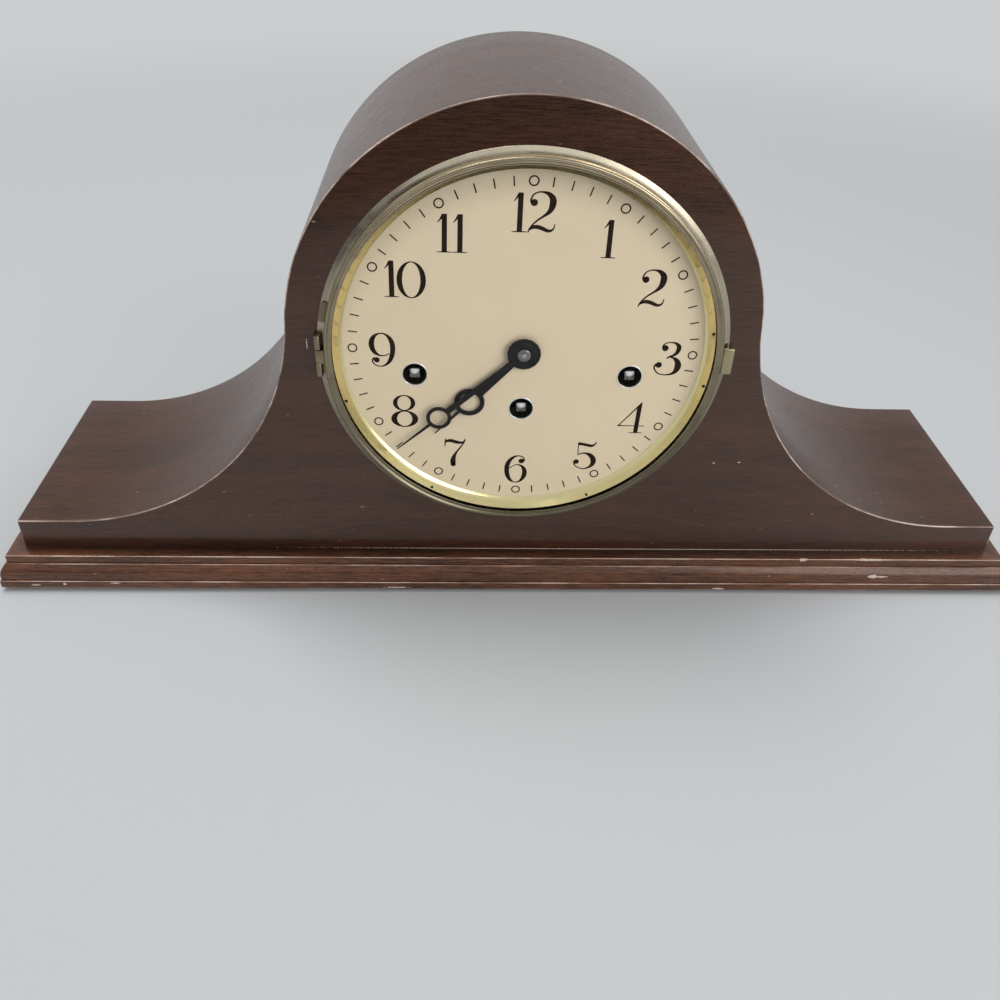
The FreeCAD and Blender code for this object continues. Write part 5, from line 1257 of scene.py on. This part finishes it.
# %% Reflector tongues
TONGUE_RING, TONGUE_R, TONGUE_FOOT, TONGUE_RISE = 85.5, 0.62, -0.12, 0.3
dot_metal = metal("tongue_brass", (0.05, 0.042, 0.03), 0.45, cloud=0.2)
dome = np.linspace(0.28, math.pi / 2, 7)
tongue = np.column_stack([TONGUE_R * np.sin(dome), TONGUE_FOOT - TONGUE_RISE * np.cos(dome)])
tongue = np.vstack([[(0.0, -0.43)], tongue, [(0.55, 0.7), (0.0, 0.7)]])
tongues = []
for angle in (197, 240, 294, 350, 8):
    spot = (TONGUE_RING * math.cos(turn(angle)), TONGUE_RING * math.sin(turn(angle)))
    tongues.append(spun(tongue, 12, spot, closed=False))
bench_piece("reflector_tongues", tongues, "case", dot_metal)

# %% [markdown]
# A slotted screw is a low dome with a trench across it. Each half of the dome is a grid: across, from the
# trench to the rim; along, from one end of the chord to the other. The height is that of the sphere
# there.

# %% Screws
SLOT_WIDE, SLOT_DEEP = 0.34, 0.6
BACK_Y, LEAF_THICK, FEET_Y = 60.5, 0.9, -38.5


def screw_head(centre, radius, high, spin):
    """Surfaces of a slotted round head that looks backward, its base centred on a place."""
    across = np.linspace(SLOT_WIDE / 2 * radius, radius * 0.999, 7)[:, None]
    along = np.linspace(-1, 1, 17)[None, :] * np.sqrt(radius ** 2 - across ** 2)
    across = across + 0 * along
    ball = (radius ** 2 + high ** 2) / (2 * high)
    rise = np.sqrt(ball ** 2 - across ** 2 - along ** 2) - (ball - high)
    half = np.stack([across, along, rise], -1)
    wall = np.stack([half[0], half[0] * (1, 1, 0) + (0, 0, high * (1 - SLOT_DEEP))])
    trench = np.stack([wall[1], wall[1] * (-1, 1, 1)])
    c, s = math.cos(turn(spin)), math.sin(turn(spin))
    sheets = []
    for shape in (half, wall, half * (-1, -1, 1), wall * (-1, -1, 1), trench):
        x = shape[..., 0] * c - shape[..., 1] * s
        z = shape[..., 0] * s + shape[..., 1] * c
        sheets.append(sheet_of(np.array(centre) + np.stack([x, shape[..., 2], z], -1)))
    return sheets


def screws(name, heads, radius, high, body, material):
    """Several equal screws as one piece, each a place and the angle its slot happens to have."""
    sheets = [sheet for place, spin in heads for sheet in screw_head(place, radius, high, spin)]
    bench_piece(name, sheets, body, material, smooth=40)


screw_brass = metal("screw_brass", (0.50, 0.38, 0.18), 0.32, cloud=0.35, spotting=0.4)
board_screws = [
    (0, 229.5), (-68, 200), (68, 200), (-94, 137), (94, 137), (-118, 46), (118, 46), (-238, 27), (238, 27),
]
heads = [((x, BACK_Y, z), 25 + 67 * index) for index, (x, z) in enumerate(board_screws)]
screws("back_board_screws", heads, 3.4, 1.0, "case", screw_brass)
for body, x in (("case", 91.2), ("back_door", 76.2)):
    heads = [((x, BACK_Y + LEAF_THICK, z), 10 + 53 * i) for i, z in enumerate((45.7, 61.7, 111.7, 127.7))]
    screws("hinge_screws_" + body, heads, 1.9, 0.8, body, screw_brass)
heads = [((x, FEET_Y, z), x + z) for x in (-85.5, 85.5) for z in (70.7, 177.7)]
screws("movement_screws", heads, 3.2, 1.6, "case", steel)

# %% [markdown]
# The balance has a hairspring, a flat spiral whose turns lie a little over half a millimetre apart. The
# radius grows by the same amount in every turn, and the ribbon stands on edge. It lies just behind the
# balance's rim, whose depth is read from the points of the solid that lie far enough out.

# %% Hairspring
TURNS, SPRING_FROM, SPRING_TO, RIM_FROM, BEHIND_RIM = 8, 1.5, 6.2, 9, 1.2
RIBBON = ((-0.05, -0.35), (0.05, -0.35), (0.05, 0.35), (-0.05, 0.35))
staff_x, staff_z = middle_of("balance_wheel")
points = np.array([vertex.co for vertex in nodes["balance_wheel"].data.vertices]) / MM
rim_points = points[np.hypot(points[:, 0] - staff_x, points[:, 2] - staff_z) > RIM_FROM]
spring_y = rim_points[:, 1].max() + BEHIND_RIM
count = TURNS * 40
radius = np.linspace(SPRING_FROM, SPRING_TO, count)
spring = np.stack([
    at_depth(arc(staff_x, staff_z, radius + dr, 0, TURNS * 2 * math.pi, count), spring_y + dy)
    for dr, dy in RIBBON
])
blue_steel = metal("blued_spring", (0.05, 0.08, 0.20), 0.25, cloud=0.1)
bench_piece("hairspring", bar_of(spring), "balance_wheel", blue_steel, join=0.0001)

# %% [markdown]
# Felt is fibres pressed into a mat. Close up it shows as a fine fleck of lighter and darker hairs and as
# a soft, uneven surface that scatters light at its edges, which is what sheen is for.

# %% Felt and cast iron
def felt(name, colour, pale):
    """Pressed wool: short hair flecks in two directions, the stronger of the two at each point."""
    material, bench, shader = new_material(name)
    where = coordinate(bench, "object")
    one_way = bench.noise(bench.stretch(where, (400, 2600, 1200)), 1, 3, 0.6)
    other_way = bench.noise(bench.stretch(where, (2600, 400, 1200)), 1, 3, 0.6)
    hairs = bench.math("MAXIMUM", one_way, other_way)
    bench.feed(bench.mix(bench.ramp(hairs, 0.45, 0.75), colour, pale), shader.inputs["Base Color"])
    shader.inputs["Roughness"].default_value = 0.95
    shader.inputs["Sheen Weight"].default_value = 0.4
    bench.feed(bench.bump(hairs, 0.0002, 0.8), shader.inputs["Normal"])
    return material


def cast_paint(name, colour):
    """Black stove enamel on rough cast iron: a pebbled skin, browner where it is thin."""
    material, bench, shader = new_material(name)
    where = coordinate(bench, "object")
    pebbles = bench.noise(where, 700, 4, 0.6)
    thin = bench.ramp(bench.noise(where, 90, 4), 0.55, 0.72)
    browned = bench.mix(bench.math("MULTIPLY", thin, 0.5), colour, (0.07, 0.04, 0.028))
    bench.feed(browned, shader.inputs["Base Color"])
    bench.feed(bench.ramp(pebbles, 0.3, 0.7, 0.38, 0.62), shader.inputs["Roughness"])
    bench.feed(bench.bump(pebbles, 0.00025, 0.9), shader.inputs["Normal"])
    return material


# %% [markdown]
# What remains are the solids that need no more shape: boards, plates, wheels and arbors. Each takes the
# finish of its kind. The board material reads Object coordinates with height and depth exchanged, so that
# the grain runs along the clock and its lines are fine when seen from behind. The ends of the winding arbors
# look out of the dial's holes. Their edges are broken, and their steel is painted darker away from the upper
# edge of each square: a painted shade, as the hole would throw.

# %% Finishes for the solids
board_wood = wood("stained_board", (0.085, 0.040, 0.020), (0.20, 0.105, 0.055), "board", amount=0.0,
                  rough=0.55, coat=0.05)
door_wood = wood("stained_door", (0.075, 0.034, 0.018), (0.175, 0.090, 0.047), "board", amount=0.0,
                 rough=0.5, coat=0.08)
block_wood = wood("plain_block", (0.24, 0.14, 0.075), (0.42, 0.27, 0.15), "board", amount=0.0, rough=0.7,
                  coat=0.0)
clock_brass = metal("clock_brass", (0.60, 0.44, 0.17), 0.27, cloud=0.28, spotting=0.25)
finishes = {
    "carcass_wood": block_wood, "felt": felt("green_felt", (0.022, 0.060, 0.032), (0.06, 0.13, 0.075)),
    "gilt_brass": dull_brass, "grey_brass": bezel_brass, "cream_dial": cream, "clear_glass": glass,
    "black_hand": hand_black, "movement_brass": clock_brass, "movement_steel": steel,
    "cast_block": cast_paint("stove_enamel", (0.016, 0.015, 0.015)),
    "mahogany_veneer": case_wood, "mahogany_moulding": base_wood,
}
slot_of = {part["node"]: part["material_slot"] for part in frame["record"]["subparts"]}
for name, solid in nodes.items():
    solid.data.materials.clear()
    solid.data.materials.append(finishes[slot_of[name]])
# Painted shade: each square's steel is painted darker away from its upper edge.
SQUARE_HALF, SHADE_FROM, SHADE_TO, SHADE_DEPTH = 1.5, 0.9, 2.6, 0.85
for train in ("time", "strike", "chime"):
    arbor = train + "_winding_arbor"
    middle_x, middle_z = middle_of(arbor)
    upper_edge = (middle_x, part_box(arbor)[0][1] / MM - FACE_Y, middle_z - DIAL_Z + SQUARE_HALF)
    square_steel_painted_shade = metal(train + "_winding_steel_painted_shade", (0.95, 0.95, 0.95), 0.16, cloud=0.1, spotting=0.1,
                         shade=(upper_edge, SHADE_FROM, SHADE_TO, SHADE_DEPTH))
    eased_copy(arbor, square_steel_painted_shade, arbor, 0.55, segments=3, angle=60)
for name, material, body in (("back_board", board_wood, "case"), ("back_door", door_wood, "back_door")):
    eased_copy(name, material, body, 0.5, segments=3)
eased_copy("rod_block", finishes["cast_block"], "case", 1.2, segments=3)
for name, body in (("door_hinge_fixed", "case"), ("door_hinge_moving", "back_door")):
    eased_copy(name, dull_brass, body, 0.12)
print(len(nodes), "solids finished")

# %% [markdown]
# The knob of the back door is turned from brass: a ball on a short neck, with a small collar where it
# meets the wood. It is one curve spun about its own middle.

# %% Door knob
BALL_R, BALL_MIDDLE, BALL_HALF = 6.2, 123.9, 5.08
knob_x, knob_z = middle_of("door_knob")
ball = np.linspace(0.05, 2.35, 14)
knob = np.vstack([
    [(0.0, 129.0), (0.3, 129.0)],
    np.column_stack([BALL_R * np.sin(ball), BALL_MIDDLE + BALL_HALF * np.cos(ball)]),
    curve_through([(3.6, 120.1), (3.0, 119.75), (3.6, 119.5), (4.6, 119.4)], 6),
    [(4.8, 119.2), (4.8, 119.02), (0.0, 119.02)],
])
knob_brass = metal("knob_brass", (0.55, 0.41, 0.17), 0.22, cloud=0.3, spotting=0.3)
turned("turned_knob", knob, "back_door", knob_brass, "gilt_brass", ["door_knob"], count=64,
       centre=(knob_x, knob_z - DIAL_Z), closed=False)
